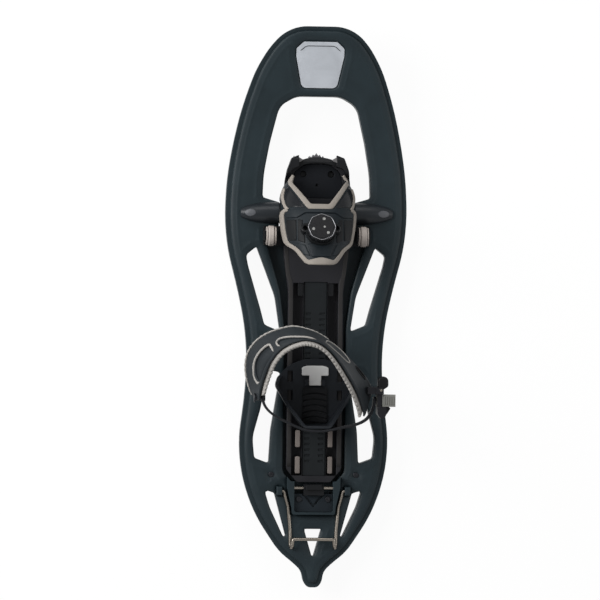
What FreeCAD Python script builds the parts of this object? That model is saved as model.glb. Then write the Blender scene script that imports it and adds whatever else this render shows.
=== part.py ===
"""One snowshoe with a moulded hourglass deck and a pivoting boot binding.

Millimetres. +X is to the wearer's right, +Y points to the nose, +Z is up. The origin is under the
middle of the deck, on the ground that the spike tips stand on.
"""
import FreeCAD, Part
import math
import os

V = FreeCAD.Vector
X_AXIS = V(1, 0, 0)
Y_AXIS = V(0, 1, 0)
Z_AXIS = V(0, 0, 1)

# ---------------------------------------------------------------- driving dimensions
# deck
deck_top_z = 30.0          # flat middle of the deck above the ground
deck_skin = 4.5            # thickness of the moulded top
rim_width = 6.0            # lower band that runs round the outline
rim_drop = 3.0
skirt_depth = 18.0         # outer wall, measured down from the top
wall = 3.5                 # skirts and window walls
nose_start_y = 130.0       # where the nose begins to turn up
nose_radius = 525.0
tail_start_y = -200.0      # where the tail begins to turn up
tail_radius = 1300.0
lip_gap = 0.3              # clearance between pieces that only touch

# trough that the binding lies in
trough_floor_z = 15.0
trough_half = 38.0
latch_y = -222.0           # the tail latch, which the rear ends of the binding follow
trough_end_y = latch_y + 8.0
pocket_end_y = latch_y - 30.0

# binding pivot
pivot_y = 117.0
pivot_z = 34.0
axle_r = 4.0
axle_half = 84.0
bush_r = 6.5
bush_play = 0.06           # radial running clearance of the axle in its bushes
ear_half = 45.0            # half width of the binding at its pivot
ear_inner = 36.0           # the bearing ears that stand above it
ear_outer = 41.5
swing_r = 27.0             # the deck's edges beside the pivot lie inside this radius
cover_r = 13.8             # pivot cover
cover_inner_x = 47.0
cover_tip_x = 94.0
cover_wall = 2.5

# binding plate
plate_bottom_z = 18.0
plate_top_z = 34.0
plate_floor = 3.5          # thickness under the channels
plate_half = 34.0
plate_tail_y = latch_y + 7.0
rail_inner = 28.0
rack_half = 14.5
rack_top_z = 32.0
rack_front_y = 32.0
rack_rear_y = latch_y + 15.0
rack_pitch = 7.0
rack_slot = 2.8
rack_slot_depth = 1.6
toe_front_y = 181.0

# front claw
claw_sheet = 2.5
claw_top_z = 17.8
claw_root_y = 178.0
claw_tip_y = 191.0
claw_tip_z = 2.5

# harness over the forefoot
harness_wall = 3.5
harness_foot_z = 34.0
trim_proud = 1.3
front_trim_width = 7.0
rear_trim_width = 4.2

# tightening dial
dial_y = 93.5
dial_tilt_deg = 19.0
dial_base_r = 18.5
dial_base_h = 5.0
dial_r = 17.2
dial_h = 9.0
spindle_r = 4.0

# side thumb wheels
wheel_x = 57.0
wheel_y = 88.5
wheel_z = 47.5
wheel_r = 12.5
wheel_width = 7.5
wheel_pin_r = 2.5
flange_t = 1.6

# heel unit
heel_plate_t = 4.0
heel_front_y = -63.0
cup_wall = 3.4
cup_front_z = 46.0
cup_rear_z = 92.0

# size lock lever
lever_bar_half = 16.3
lever_stem_half = 7.3
lever_front_y = -71.0
lever_bar_depth = 12.3
lever_rear_y = -95.5
lever_t = 4.2
lever_pin_r = 1.6

# ankle strap
rivet_y = -110.0
rivet_z = 82.0
rivet_r = 3.0
rivet_head_x = -76.2       # under the left rivet's head
band_t = 2.8
band_low_z = 74.0
band_high_z = 91.0
strap_t = 3.2
liner_t = 4.2

# ratchet buckle
buckle_x = 72.4
buckle_low_z = 74.0
buckle_high_z = 98.0
buckle_pin_y = -99.0
buckle_pin_x = 76.5
buckle_pin_r = 1.5
ladder_t = 2.4
ladder_front_y = -104.0
ladder_rear_y = -119.0

# heel lifter
wire_r = 2.1
lifter_pivot_y = latch_y - 4.0
lifter_pivot_z = 35.2
lifter_end_y = -293.0
cheek_inner = 24.0
cheek_outer = 33.0
cheek_top_z = 41.0
socket_inner = 38.5        # bosses that hold the ends of the wire
socket_outer = 46.0

# tail latch and the moulded insert behind it
latch_z = 37.0
latch_half = 12.5
latch_r = 4.8
latch_pin_r = 2.0
insert_top_z = 34.5

# spikes under the deck
spike_r = 6.0
spike_shank_r = 2.6
spike_places = [(88.0, 165.0), (83.0, 12.0), (65.0, -57.0), (46.0, -216.0)]

heel_plate_z = plate_top_z + lip_gap
heel_top_z = heel_plate_z + heel_plate_t
lever_z = heel_top_z + 0.6

# half of each outline, from nose to tail, as (x, y); window corners are (x, y, radius)
OUTLINE = [(27, 345), (46.5, 336.5), (62, 320), (78, 293), (93.6, 248), (104, 203), (110.8, 160),
           (113, 112), (109, 72), (96.7, 26), (86.8, -20), (83.2, -65), (85.8, -110), (93.1, -165),
           (88, -211), (72, -256), (42, -301), (23, -316), (13.5, -325.5), (11.4, -338), (6.5, -345)]
TOE_WINDOW = [(27, 261, 26), (48, 249, 24), (59, 204, 160), (66, 165, 150), (67, 136.5, 3),
              (cover_inner_x - 0.6, 130.5, 2), (cover_inner_x - 0.6, 99, 3)]
FRONT_SLOT = [(73.5, 75.5, 1.5), (86.5, 65, 6), (84, 52, 20), (68, -2, 60), (63, -21, 5),
              (43.5, -29, 2), (50, 14, 60)]
MIDDLE_SLOT = [(42, -80.5, 3), (58, -76, 8), (66.5, -125, 60), (76, -160, 40), (73.5, -186, 5),
               (55.5, -192.5, 2), (53.5, -152, 80)]
REAR_SLOT = [(48, -229, 2), (60.5, -225, 2.5), (54, -246, 60), (37, -282, 4), (32.5, -286, 1.5)]
TAIL_SLOT = [(11, -273, 1), (1.2, -307, 1)]


# ---------------------------------------------------------------- small helpers
def box(x0, x1, y0, y1, z0, z1):
    return Part.makeBox(x1 - x0, y1 - y0, z1 - z0, V(x0, y0, z0))


def rod(start, end, radius):
    return Part.makeCylinder(radius, (end - start).Length, start, end - start)


def cross_rod(reach, y, z, radius):
    """A rod along X that reaches equally far to both sides."""
    return rod(V(-reach, y, z), V(reach, y, z), radius)


def upright(shape):
    """The edges that stand straight up."""
    return [e for e in shape.Edges if abs(e.tangentAt(0).z) > 0.99]


def mirrored(shape):
    return shape.mirror(V(0, 0, 0), X_AXIS)


def fuse(shapes):
    return shapes[0].multiFuse(shapes[1:]).removeSplitter() if len(shapes) > 1 else shapes[0]


def rounded_wire(corners, z=0.0):
    """A closed wire through corners (x, y, radius), each corner rounded by its own radius."""
    bends = []
    for i, (x, y, radius) in enumerate(corners):
        here = V(x, y, z)
        before = V(corners[i - 1][0], corners[i - 1][1], z)
        after = V(corners[(i + 1) % len(corners)][0], corners[(i + 1) % len(corners)][1], z)
        back = (before - here).normalize()
        ahead = (after - here).normalize()
        half = back.getAngle(ahead) / 2
        cut = radius / math.tan(half)
        middle = here + (back + ahead).normalize() * (radius / math.sin(half) - radius)
        bends.append((here + back * cut, middle, here + ahead * cut, radius))
    edges = []
    for i, (start, middle, end, radius) in enumerate(bends):
        if radius > 0:
            edges.append(Part.Arc(start, middle, end).toShape())
        edges.append(Part.makeLine(end, bends[(i + 1) % len(bends)][0]))
    return Part.Wire(edges)


def grown(corners, distance):
    """The same corners with every side moved outward by a distance."""
    count = len(corners)
    area = sum(corners[i - 1][0] * corners[i][1] - corners[i][0] * corners[i - 1][1] for i in range(count))
    turn = 1 if area > 0 else -1
    result = []
    for i, (x, y, radius) in enumerate(corners):
        here = V(x, y, 0)
        along = (here - V(corners[i - 1][0], corners[i - 1][1], 0)).normalize()
        ahead = (V(corners[(i + 1) % count][0], corners[(i + 1) % count][1], 0) - here).normalize()
        n1 = V(along.y, -along.x, 0) * turn
        n2 = V(ahead.y, -ahead.x, 0) * turn
        moved = here + (n1 + n2) * (distance / (1 + n1.dot(n2)))
        convex = (along.x * ahead.y - along.y * ahead.x) * turn > 0
        result.append((moved.x, moved.y, max(radius + (distance if convex else -distance), 0.4)))
    return result


def both_sides(half):
    """A symmetric outline from its right half, listed from the nose to the tail."""
    return half + [(-x, y) + tuple(rest) for x, y, *rest in reversed(half)]


def other_side(corners):
    return [(-x, y, radius) for x, y, radius in reversed(corners)]


def prism(corners, z0, z1):
    return Part.Face(rounded_wire(corners, z0)).extrude(V(0, 0, z1 - z0))


def side_prism(corners, x0, x1):
    """An outline drawn in the YZ plane as (y, z, radius), extruded from x0 to x1."""
    flat = Part.Face(rounded_wire(corners))
    flat.Placement = FreeCAD.Placement(V(x0, 0, 0), FreeCAD.Rotation(Y_AXIS, Z_AXIS, X_AXIS, "ZXY"))
    return flat.extrude(V(x1 - x0, 0, 0))


def rounded_path(points, radius):
    """Straight runs joined by tangent arcs of one radius."""
    edges = []
    last = points[0]
    for before, here, after in zip(points, points[1:], points[2:]):
        back = (before - here).normalize()
        ahead = (after - here).normalize()
        half = back.getAngle(ahead) / 2
        cut = radius / math.tan(half)
        start = here + back * cut
        end = here + ahead * cut
        middle = here + (back + ahead).normalize() * (radius / math.sin(half) - radius)
        edges += [Part.makeLine(last, start), Part.Arc(start, middle, end).toShape()]
        last = end
    edges.append(Part.makeLine(last, points[-1]))
    return Part.Wire(edges)


def tube(path, radius):
    start = path.Edges[0].firstVertex().Point
    direction = path.Edges[0].tangentAt(path.Edges[0].FirstParameter)
    ring = Part.Wire([Part.makeCircle(radius, start, direction)])
    return path.makePipeShell([ring], True, False)


def loft(wires):
    return Part.makeLoft(wires, True, False)


def save(name, shape):
    os.makedirs("parts", exist_ok=True)
    solids = shape.Solids
    if not solids or not all(s.isValid() for s in solids):
        raise ValueError(name + " is not a valid solid")
    result = solids[0] if len(solids) == 1 else Part.makeCompound(solids)
    result.exportStep("parts/" + name + ".step")
    print(name, len(solids), round(sum(s.Volume for s in solids) / 1000, 2), "cm3")


# ---------------------------------------------------------------- deck surfaces
def smooth(points):
    """Corners (x, y, radius) whose arcs are as wide as the shorter side beside each corner lets them be."""
    corners = []
    count = len(points)
    for i, (x, y) in enumerate(points):
        here = V(x, y, 0)
        back = V(*points[i - 1], 0) - here
        ahead = V(*points[(i + 1) % count], 0) - here
        reach = 0.48 * min(back.Length, ahead.Length)
        corners.append((x, y, reach * math.tan(back.getAngle(ahead) / 2)))
    return corners


def outline_prism(inset=0.0):
    """The deck's outline, moved inward, as a tall prism."""
    return prism(grown(smooth(both_sides(OUTLINE)), -inset), -50, 150)


def lift(y):
    """How far the deck's side line has risen at y."""
    if y > nose_start_y:
        return nose_radius - math.sqrt(nose_radius ** 2 - (y - nose_start_y) ** 2)
    if y < tail_start_y:
        return tail_radius - math.sqrt(tail_radius ** 2 - (tail_start_y - y) ** 2)
    return 0.0


def slab(upper, lower):
    """The space between two heights that follow the deck's side line."""
    reach_x = 140.0
    front = 360.0
    back = -360.0

    def line(z):
        stations = [back, (back + tail_start_y) / 2, tail_start_y, nose_start_y,
                    (nose_start_y + front) / 2, front]
        p = [V(-reach_x, y, z + lift(y)) for y in stations]
        return [Part.Arc(p[0], p[1], p[2]).toShape(), Part.makeLine(p[2], p[3]),
                Part.Arc(p[3], p[4], p[5]).toShape()]

    top = line(upper)
    bottom = line(lower)
    ends = [Part.makeLine(V(-reach_x, y, upper + lift(y)), V(-reach_x, y, lower + lift(y)))
            for y in (back, front)]
    wire = Part.Wire(Part.__sortEdges__(top + bottom + ends))
    return Part.Face(wire).extrude(V(2 * reach_x, 0, 0))


def windows():
    pairs = [FRONT_SLOT, MIDDLE_SLOT, REAR_SLOT]
    shapes = [both_sides(TOE_WINDOW), both_sides(TAIL_SLOT)]
    for corners in pairs:
        shapes += [corners, other_side(corners)]
    return shapes


TROUGH = [(cover_inner_x - 0.6, 112, 1), (cover_inner_x - 0.6, 97, 2), (64, 95, 4), (61, 78, 10),
          (44, 20, 60), (trough_half, -25, 60), (trough_half, -203, 12), (28, trough_end_y, 2)]
REAR_POCKET = [(cheek_inner, trough_end_y + 6, 1), (cheek_inner, pocket_end_y, 3)]
TAIL_BLOCK = [(cheek_outer, latch_y + 15, 2), (cheek_outer, latch_y, 12), (27.3, latch_y - 24, 10),
              (26.6, pocket_end_y - 3, 3)]
TOE_LEDGE = [(58, 246, 4), (64, 240, 4), (71.5, 200, 160), (75, 165, 60), (73.5, 139, 3), (62, 138, 1)]
SMALL_SCREWS = [(52.5, -206)]
INSERT_SCREWS = [(18, latch_y - 14)]


def spike_spots():
    return [(side * x, y) for x, y in spike_places for side in (-1, 1)]


def deck_solid():
    """Everything moulded in the deck before its openings are cut."""
    top = deck_top_z
    full = outline_prism()
    inner = outline_prism(wall)
    pieces = [outline_prism(rim_width).common(slab(top, top - deck_skin))]
    rim = full.cut(outline_prism(rim_width + 1.5))
    pieces.append(rim.common(slab(top - rim_drop, top - rim_drop - deck_skin)))
    pieces.append(full.cut(inner).common(slab(top - rim_drop, top - skirt_depth)))
    inside = slab(top - 1, top - skirt_depth + 2)
    for corners in windows():
        pieces.append(prism(grown(corners, wall), -40, 140).common(inside).common(inner))
    pieces.append(prism(grown(both_sides(TROUGH), wall), trough_floor_z - wall, top - 1))
    pieces.append(prism(both_sides(TAIL_BLOCK), trough_floor_z - wall, cheek_top_z))
    for x, y in spike_spots():
        foot = V(x, y, top - skirt_depth - 2 + lift(y))
        pieces.append(Part.makeCylinder(spike_r + 2, skirt_depth - 1, foot))
    for side in (-1, 1):
        x0, x1 = sorted((side * cover_inner_x, side * (cover_tip_x - 6)))
        pieces.append(box(x0, x1, pivot_y - 11, pivot_y + 11, top - 14, top - 1))
        x0, x1 = sorted((side * socket_inner, side * socket_outer))
        boss = box(x0, x1, lifter_pivot_y - 5.5, lifter_pivot_y + 5.5, top - 6, lifter_pivot_z + wire_r + 2.4)
        pieces.append(boss.makeFillet(2.0, [e for e in boss.Edges if e.BoundBox.ZMin > top]))
    for y in (-45, 40, 230):
        rib = box(-100, 100, y - 1.5, y + 1.5, top - 13 + lift(y), top - rim_drop - 1 + lift(y))
        pieces.append(rib.common(inner))
    return fuse(pieces)


def deck():
    top = deck_top_z
    tools = [prism(corners, -40, 140) for corners in windows()]
    tools.append(prism(both_sides(TROUGH), trough_floor_z, 60))
    tools.append(prism(both_sides(REAR_POCKET), trough_floor_z + 3, 60))
    tools.append(badge_outline(1.0).common(slab(top + 20, top - 1.2)))
    for side in (-1, 1):
        corners = TOE_LEDGE if side > 0 else other_side(TOE_LEDGE)
        tools.append(prism(corners, -40, 140).common(slab(top + 20, top - 2.0)))
    reach = axle_half + lip_gap
    tools.append(cross_rod(reach, pivot_y, pivot_z, axle_r + 0.1))
    for x, y in spike_spots():
        tools.append(Part.makeCylinder(spike_shank_r, 25, V(x, y, -5 + lift(y))))
    reach = socket_outer - 1.5
    tools.append(cross_rod(reach, lifter_pivot_y, lifter_pivot_z, wire_r + 0.05))
    reach = cheek_outer - 3
    tools.append(cross_rod(reach, latch_y, latch_z, latch_pin_r))
    for x, y in SMALL_SCREWS:
        for side in (-1, 1):
            tools.append(Part.makeCylinder(1.6, 30, V(side * x, y, top - 9)))
    for x, y in INSERT_SCREWS:
        for side in (-1, 1):
            tools.append(Part.makeCylinder(1.9, 12, V(side * x, y, trough_floor_z - 1)))
    return deck_solid().cut(tools)


def deck_spikes():
    """Steel ice spikes pressed into bosses under the deck."""
    spikes = []
    for x, y in spike_spots():
        base = deck_top_z - skirt_depth - 2 + lift(y)
        shank = Part.makeCylinder(spike_shank_r, 9, V(x, y, base))
        collar = Part.makeCylinder(spike_r, 2.4, V(x, y, base - 2.4))
        tip = Part.makeCone(1.2, spike_r - 1.2, base - 2.4 - lift(y), V(x, y, lift(y)))
        spikes.append(fuse([shank, collar, tip]))
    return Part.makeCompound(spikes)


def screws(places, top_z, length, shank_r, head_r):
    """Pan-head cross screws, mirrored left and right."""
    result = []
    for x, y in places:
        for side in (-1, 1):
            seat = V(side * x, y, top_z + lift(y) + 0.05)
            shank = Part.makeCylinder(shank_r, length, seat - Z_AXIS * length)
            body = Part.makeCylinder(head_r, 1.8, seat).fuse(shank)
            body = body.makeFillet(0.8, [e for e in body.Edges if e.BoundBox.ZMin > seat.z + 1.7])
            for across in (box(-1.9, 1.9, -0.5, 0.5, 0.9, 3), box(-0.5, 0.5, -1.9, 1.9, 0.9, 3)):
                across.translate(seat)
                body = body.cut(across)
            result.append(body)
    return Part.makeCompound(result)


# ---------------------------------------------------------------- nose badge
BADGE = [(20.5, 326.5, 2), (29.5, 318.5, 3), (29.5, 309, 6), (21.5, 271, 7)]


def badge_outline(margin=0.0):
    return prism(grown(both_sides(BADGE), margin), -40, 140)


def badge():
    return badge_outline().common(slab(deck_top_z + 0.4, deck_top_z - 1.2 + 0.05))


# ---------------------------------------------------------------- pivot
def pivot_cover():
    """A bullet-shaped cover over one end of the axle."""
    def profile(r, tip):
        curve = []
        for share in (i / 8 for i in range(9)):
            x = cover_inner_x + (tip - cover_inner_x) * share
            curve.append(V(x, r * math.sqrt(1 - 0.86 * share ** 2.2), 0))
        spline = Part.BSplineCurve()
        spline.interpolate(curve)
        edges = [spline.toShape(), Part.makeLine(curve[-1], V(tip, 0, 0)),
                 Part.makeLine(V(tip, 0, 0), V(cover_inner_x, 0, 0)),
                 Part.makeLine(V(cover_inner_x, 0, 0), curve[0])]
        return Part.Face(Part.Wire(edges)).revolve(V(0, 0, 0), X_AXIS, 360)

    shell = profile(cover_r, cover_tip_x)
    inner = profile(cover_r - cover_wall, cover_tip_x - cover_wall)
    end_wall = rod(V(cover_inner_x - 1, 0, 0), V(cover_inner_x + cover_wall, 0, 0), cover_r)
    shell = shell.cut(inner.cut(end_wall))
    post = rod(V(cover_inner_x + 1, 0, 0), V(axle_half - 1, 0, 0), axle_r + 2.4)
    web = box(cover_inner_x + 14, cover_inner_x + 17, -cover_r + 2, cover_r - 2, 0, cover_r - 3)
    shell = fuse([shell, post.fuse(web).common(profile(cover_r - 0.5, cover_tip_x - 0.5))])
    shell.translate(V(0, pivot_y, deck_top_z + 2.0))
    shell = shell.common(box(0, 120, 0, 200, deck_top_z, 80))
    return shell.cut(rod(V(0, pivot_y, pivot_z), V(axle_half, pivot_y, pivot_z), axle_r + 0.1))


def axle():
    """Two stub axles, so that the plate stays flat between the ears."""
    stubs = []
    for side in (-1, 1):
        body = rod(V(side * ear_inner, pivot_y, pivot_z), V(side * axle_half, pivot_y, pivot_z), axle_r)
        stubs.append(body.makeChamfer(0.8, [e for e in body.Edges if isinstance(e.Curve, Part.Circle)]))
    return Part.makeCompound(stubs)


def bush():
    start = V(ear_inner, pivot_y, pivot_z)
    end = V(ear_outer + 0.6, pivot_y, pivot_z)
    return rod(start, end, bush_r).cut(rod(start - X_AXIS, end + X_AXIS, axle_r + bush_play))


# ---------------------------------------------------------------- binding plate
PLATE = [(22, toe_front_y, 14), (35, 168, 14), (39, 146, 20), (ear_half, 128, 3), (ear_half, 104, 4),
         (40.5, 84, 10), (40, 66, 30), (plate_half, 20, 30), (plate_half, plate_tail_y + 16, 10),
         (21, plate_tail_y, 4)]
TOE_PLATE = [(15, 178, 14), (28, 168, 8), (32.5, 150, 10), (33, 136, 2)]


def binding_plate():
    body = prism(both_sides(PLATE), plate_bottom_z, plate_top_z)
    ears = rod(V(-ear_outer, pivot_y, pivot_z), V(ear_outer, pivot_y, pivot_z), bush_r + 3.5)
    inner = box(-ear_inner + 2, ear_inner - 2, pivot_y - 20, pivot_y + 20, plate_bottom_z + 1, 60)
    body = fuse([body, ears.cut(inner)])
    channel_floor = plate_bottom_z + plate_floor
    for x0, x1 in ((rack_half + 0.5, rail_inner), (-rail_inner, -rack_half - 0.5)):
        body = body.cut(box(x0, x1, rack_rear_y, 31, channel_floor, 60))
    rack_x = rack_half + lip_gap
    body = body.cut(box(-rack_x, rack_x, rack_rear_y - lip_gap, rack_front_y + lip_gap, channel_floor, 60))
    body = body.cut(prism(grown(both_sides(TOE_PLATE), 0.3), plate_top_z - 2.5, 60))
    for side in (-1, 1):
        inner_end = V(side * (ear_inner - 0.1), pivot_y, pivot_z)
        body = body.cut(rod(inner_end, V(side * 80, pivot_y, pivot_z), axle_r + 0.1))
        body = body.cut(rod(inner_end, V(side * (ear_outer + 1), pivot_y, pivot_z), bush_r + 0.05))
        hole = Part.makeCylinder(4.0, 40, V(side * 17.3, 165.5, 10))
        body = body.cut(hole)
        rivet_hole = Part.makeCylinder(2.5, 5, V(side * 12, 158, plate_bottom_z))
        body = body.cut(rivet_hole)
    return body.cut(Part.makeCylinder(1.2, 8, V(0, 152, plate_top_z - 8)))


def toe_bumper():
    """The raised edge round the front of the toe: two tall wings and a low lip between them."""
    outer = [(24, 188.5, 2), (32.5, 185, 3), (38, 170, 16), (40.5, 156, 16), (41.5, 143, 3)]
    inner = [(20, 176, 6), (32, 171.5, 6), (36.5, 157, 10), (37, 140, 1)]
    wall_ring = prism(both_sides(outer), plate_top_z, 60).cut(prism(both_sides(inner), 0, 90))
    slope = side_prism([(142, 33, 0), (192, 33, 0), (192, 41, 0), (184, 49, 4), (167, 49, 6),
                        (158.5, 36.6, 3), (142, 36.6, 0)], -60, 60)
    middle = box(-23.5, 23.5, 140, 200, plate_top_z - 1, 90)
    wings = wall_ring.common(slope).cut(middle)
    arch_r = 55.0
    nose = Part.makeCylinder(arch_r, 7, V(0, 186.5 - arch_r, plate_top_z))
    lip = nose.cut(Part.makeCylinder(arch_r, 9, V(0, 179.5 - arch_r, plate_top_z - 1))).common(middle)
    ramp = side_prism([(150, 33, 0), (189, 33, 0), (189, 35.5, 0), (181, 40.8, 1), (150, 40.8, 0)], -60, 60)
    return fuse([wings, lip.common(ramp)])


def toe_plate():
    """Dark wear plate let into the binding under the ball of the foot."""
    body = prism(both_sides(TOE_PLATE), plate_top_z - 2.5, plate_top_z + 0.3)
    for side in (-1, 1):
        body = body.cut(Part.makeCylinder(4.0, 40, V(side * 17.3, 165.5, 10)))
    return body.cut(Part.makeCylinder(1.6, 40, V(0, 152, 10)))


def size_rack():
    body = box(-rack_half, rack_half, rack_rear_y, rack_front_y, plate_bottom_z + plate_floor, rack_top_z)
    upper = [e for e in body.Edges if e.BoundBox.ZMin > rack_top_z - 0.1]
    body = body.makeFillet(1.0, [e for e in upper if abs(e.tangentAt(0).y) > 0.99])
    first = -7.0
    count = int((first - rack_rear_y - 16) // rack_pitch) + 1
    slots = []
    for i in range(count):
        y = first - i * rack_pitch
        for side in (-1, 1):
            x0, x1 = sorted((side * 5.0, side * 12.0))
            slots.append(box(x0, x1, y - rack_slot / 2, y + rack_slot / 2, rack_top_z - rack_slot_depth, 40))
    return body.cut(Part.makeCompound(slots))


def sole_pads():
    pads = []
    for y0 in (rack_rear_y + 35, rack_rear_y + 2.5):
        for x0, x1 in ((17, 23), (-23, -17)):
            pad = box(x0, x1, y0, y0 + 21, plate_bottom_z + plate_floor, plate_top_z - 0.8)
            pads.append(pad.makeFillet(1.2, upright(pad)))
    return Part.makeCompound(pads)


def channel_tabs():
    tabs = []
    for side in (-1, 1):
        x0, x1 = sorted((side * 15.2, side * 22))
        tab = box(x0, x1, 15, 30.8, plate_bottom_z + plate_floor, plate_top_z - 1.5)
        tabs.append(tab.makeFillet(1.5, [e for e in upright(tab) if e.BoundBox.YMax < 16]))
    return Part.makeCompound(tabs)


# ---------------------------------------------------------------- front claw
def front_claw():
    """A bent steel sheet under the toe: a flat tab, then three groups of teeth that slope down."""
    drop = claw_top_z - claw_tip_z
    run = claw_tip_y - claw_root_y
    length = math.hypot(drop, run)
    down = V(0, run / length, -drop / length)
    out = V(0, drop / length, run / length)

    def blade(profile):
        root = V(0, claw_root_y, claw_top_z)
        points = [root + X_AXIS * x + down * (d * length) for x, d in profile]
        face = Part.Face(Part.makePolygon(points + [points[0]]))
        return face.extrude(out * -claw_sheet)

    middle = blade([(-15.5, 0), (-9, 0.6), (-9.2, 0.82), (-6, 0.7), (0, 1.0), (6, 0.7), (9.2, 0.82),
                    (9, 0.6), (15.5, 0)])
    tooth = blade([(15, 0), (25, 0.55), (27, 0.92), (29, 0.45), (29, 0)])
    tab = prism(both_sides([(29, claw_root_y + 0.5, 1), (29, 150, 4)]), claw_top_z - claw_sheet, claw_top_z)
    body = fuse([middle, tooth, mirrored(tooth), tab])
    for side in (-1, 1):
        body = body.cut(Part.makeCylinder(2.6, 10, V(side * 12, 158, claw_top_z - 6)))
    return body


def claw_rivets():
    rivets = []
    for side in (-1, 1):
        head = Part.makeCylinder(4.5, 1.8, V(side * 12, 158, claw_top_z - claw_sheet - 1.8))
        shank = Part.makeCylinder(2.5, claw_sheet + 4, V(side * 12, 158, claw_top_z - claw_sheet))
        rivets.append(head.fuse(shank))
    return Part.makeCompound(rivets)


# ---------------------------------------------------------------- harness
HARNESS_STATIONS = [(168, 31.5, 57), (157, 37, 65), (147, 43, 73), (134, 46.6, 83), (117, 47.6, 93),
                    (97, 46, 102), (78, 42.5, 109), (62, 38, 114), (46, 33, 118)]
HARNESS_PLAN = [(8.5, 129, 5), (28, 149.5, 8), (30, 155, 6), (26.5, 165, 1.2), (31, 166.5, 1.2),
                (36.5, 156.5, 2), (44.5, 149, 6), (50, 138, 8), (50, 112, 8), (43.5, 80, 8),
                (39, 74, 5), (29, 67.5, 5), (16.5, 52.5, 3)]
HARNESS_SIDE = [(172, 33, 3), (172, 60, 5), (120, 130, 20), (40, 130, 5), (44, 96, 8), (70, 62, 12),
                (88, 33, 3)]


def arch_wire(y, half, crown, shrink):
    """One cross-section of the forefoot arch: a rounded square shoulder closed by a flat foot."""
    a = half - shrink
    h = crown - harness_foot_z - shrink
    power = 2 / 2.5
    points = []
    for i in range(13):
        angle = math.pi * i / 12
        c = math.cos(angle)
        s = math.sin(angle)
        points.append(V(-a * math.copysign(abs(c) ** power, c), y, harness_foot_z + h * s ** power))
    curve = Part.BSplineCurve()
    curve.interpolate(points)
    right = points[-1] - Z_AXIS * 6
    left = points[0] - Z_AXIS * 6
    return Part.Wire([curve.toShape(), Part.makeLine(points[-1], right), Part.makeLine(right, left),
                      Part.makeLine(left, points[0])])


def arch(shrink):
    return loft([arch_wire(y, half, crown, shrink) for y, half, crown in HARNESS_STATIONS])


def harness_crown(y):
    """Height of the harness's top line at y."""
    for (y1, _, z1), (y0, _, z0) in zip(HARNESS_STATIONS, HARNESS_STATIONS[1:]):
        if y0 <= y <= y1:
            return z0 + (z1 - z0) * (y - y0) / (y1 - y0)
    raise ValueError("outside the harness")


def harness():
    """The dark shell and its two pale edges, each a separate solid."""
    keep = side_prism(HARNESS_SIDE, -70, 70).common(box(-70, 70, 0, 200, plate_top_z, 150))
    keep = keep.cut([cover_clearance(), box(-70, 70, 141, 200, 0, plate_top_z + 3),
                     cross_rod(70, pivot_y, pivot_z, axle_r + 0.5)])
    outer = arch(0)
    inner = arch(harness_wall)
    full = both_sides(HARNESS_PLAN)
    plan = prism(full, 0, 160)
    front_core = prism(both_sides([(8.5, 129 - front_trim_width, 5), (33.5, 147.5, 8), (33.2, 160, 4),
                                   (70, 160, 4), (70, 90, 5)]), 0, 160)
    rear_core = prism(grown(full, -rear_trim_width), 0, 160)
    front_zone = box(-70, 70, 118, 200, 0, 160)
    side_zone = prism(both_sides([(40, 122, 1), (55, 146, 1), (55, 100, 1)]), 0, 160)
    rear_zone = box(-70, 70, 0, 113, 0, 160).fuse(side_zone)
    band = arch(-trim_proud).cut(inner).common(plan).common(keep)
    front = band.common(front_zone).cut(front_core)
    rear = band.common(rear_zone).cut(rear_core)
    shell = outer.cut(inner).common(plan).common(keep).cut(front).cut(rear)
    return shell, front, rear


def cover_clearance():
    """Room that the binding leaves round the pivot covers as it swings."""
    start = cover_inner_x - 0.6
    right = rod(V(start, pivot_y, pivot_z), V(start + 20, pivot_y, pivot_z), swing_r)
    return right.fuse(mirrored(right))


def dial_frame():
    """The dial's seat on the harness and the direction it stands in."""
    tilt = math.radians(dial_tilt_deg)
    return V(0, dial_y, harness_crown(dial_y) + 1.2), V(0, math.sin(tilt), math.cos(tilt))


def dial_base():
    seat, up = dial_frame()
    plate = Part.makeCylinder(dial_base_r, dial_base_h + 6, seat - up * 6, up)
    ports = [seat + V(side * 18.5, 3, -1) for side in (-1, 1)]
    body = fuse([plate] + [Part.makeCylinder(6.0, dial_base_h + 4.5, at - up * 6, up) for at in ports])
    body = body.cut([Part.makeCylinder(3.4, 30, at - up * 2, up) for at in ports])
    body = body.cut(Part.makeCylinder(spindle_r + 0.1, 30, seat - up * 5, up))
    return body.cut(arch(0).common(box(-70, 70, 40, 160, 30, 160)))


def dial_spindle():
    seat, up = dial_frame()
    body = Part.makeCylinder(spindle_r, dial_base_h + 2, seat - up * 0.5, up)
    flange = Part.makeCylinder(9, 1.4, seat + up * (dial_base_h + 0.4), up)
    return body.fuse(flange)


def dial_knob():
    seat, up = dial_frame()
    foot = seat + up * (dial_base_h + 0.3 + 1.8)
    body = Part.makeCylinder(dial_r, dial_h, foot, up)
    rim = [e for e in body.Edges if isinstance(e.Curve, Part.Circle)]
    body = body.makeFillet(1.6, rim)
    side = up.cross(X_AXIS)
    for angle in (math.radians(20 * i) for i in range(18)):
        centre = foot + (X_AXIS * math.cos(angle) + side * math.sin(angle)) * (dial_r + 0.9) - up
        body = body.cut(Part.makeCylinder(1.7, dial_h - 1.0, centre, up))
    return body.cut(Part.makeCylinder(dial_r - 3.0, 2.0, foot + up * (dial_h - 1.2), up))


def dial_window():
    seat, up = dial_frame()
    foot = seat + up * (dial_base_h + 0.3 + 1.8 + dial_h - 1.2)
    body = Part.makeCylinder(dial_r - 3.1, 1.4, foot, up)
    return body.makeFillet(0.5, [e for e in body.Edges if isinstance(e.Curve, Part.Circle)][:1])


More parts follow.
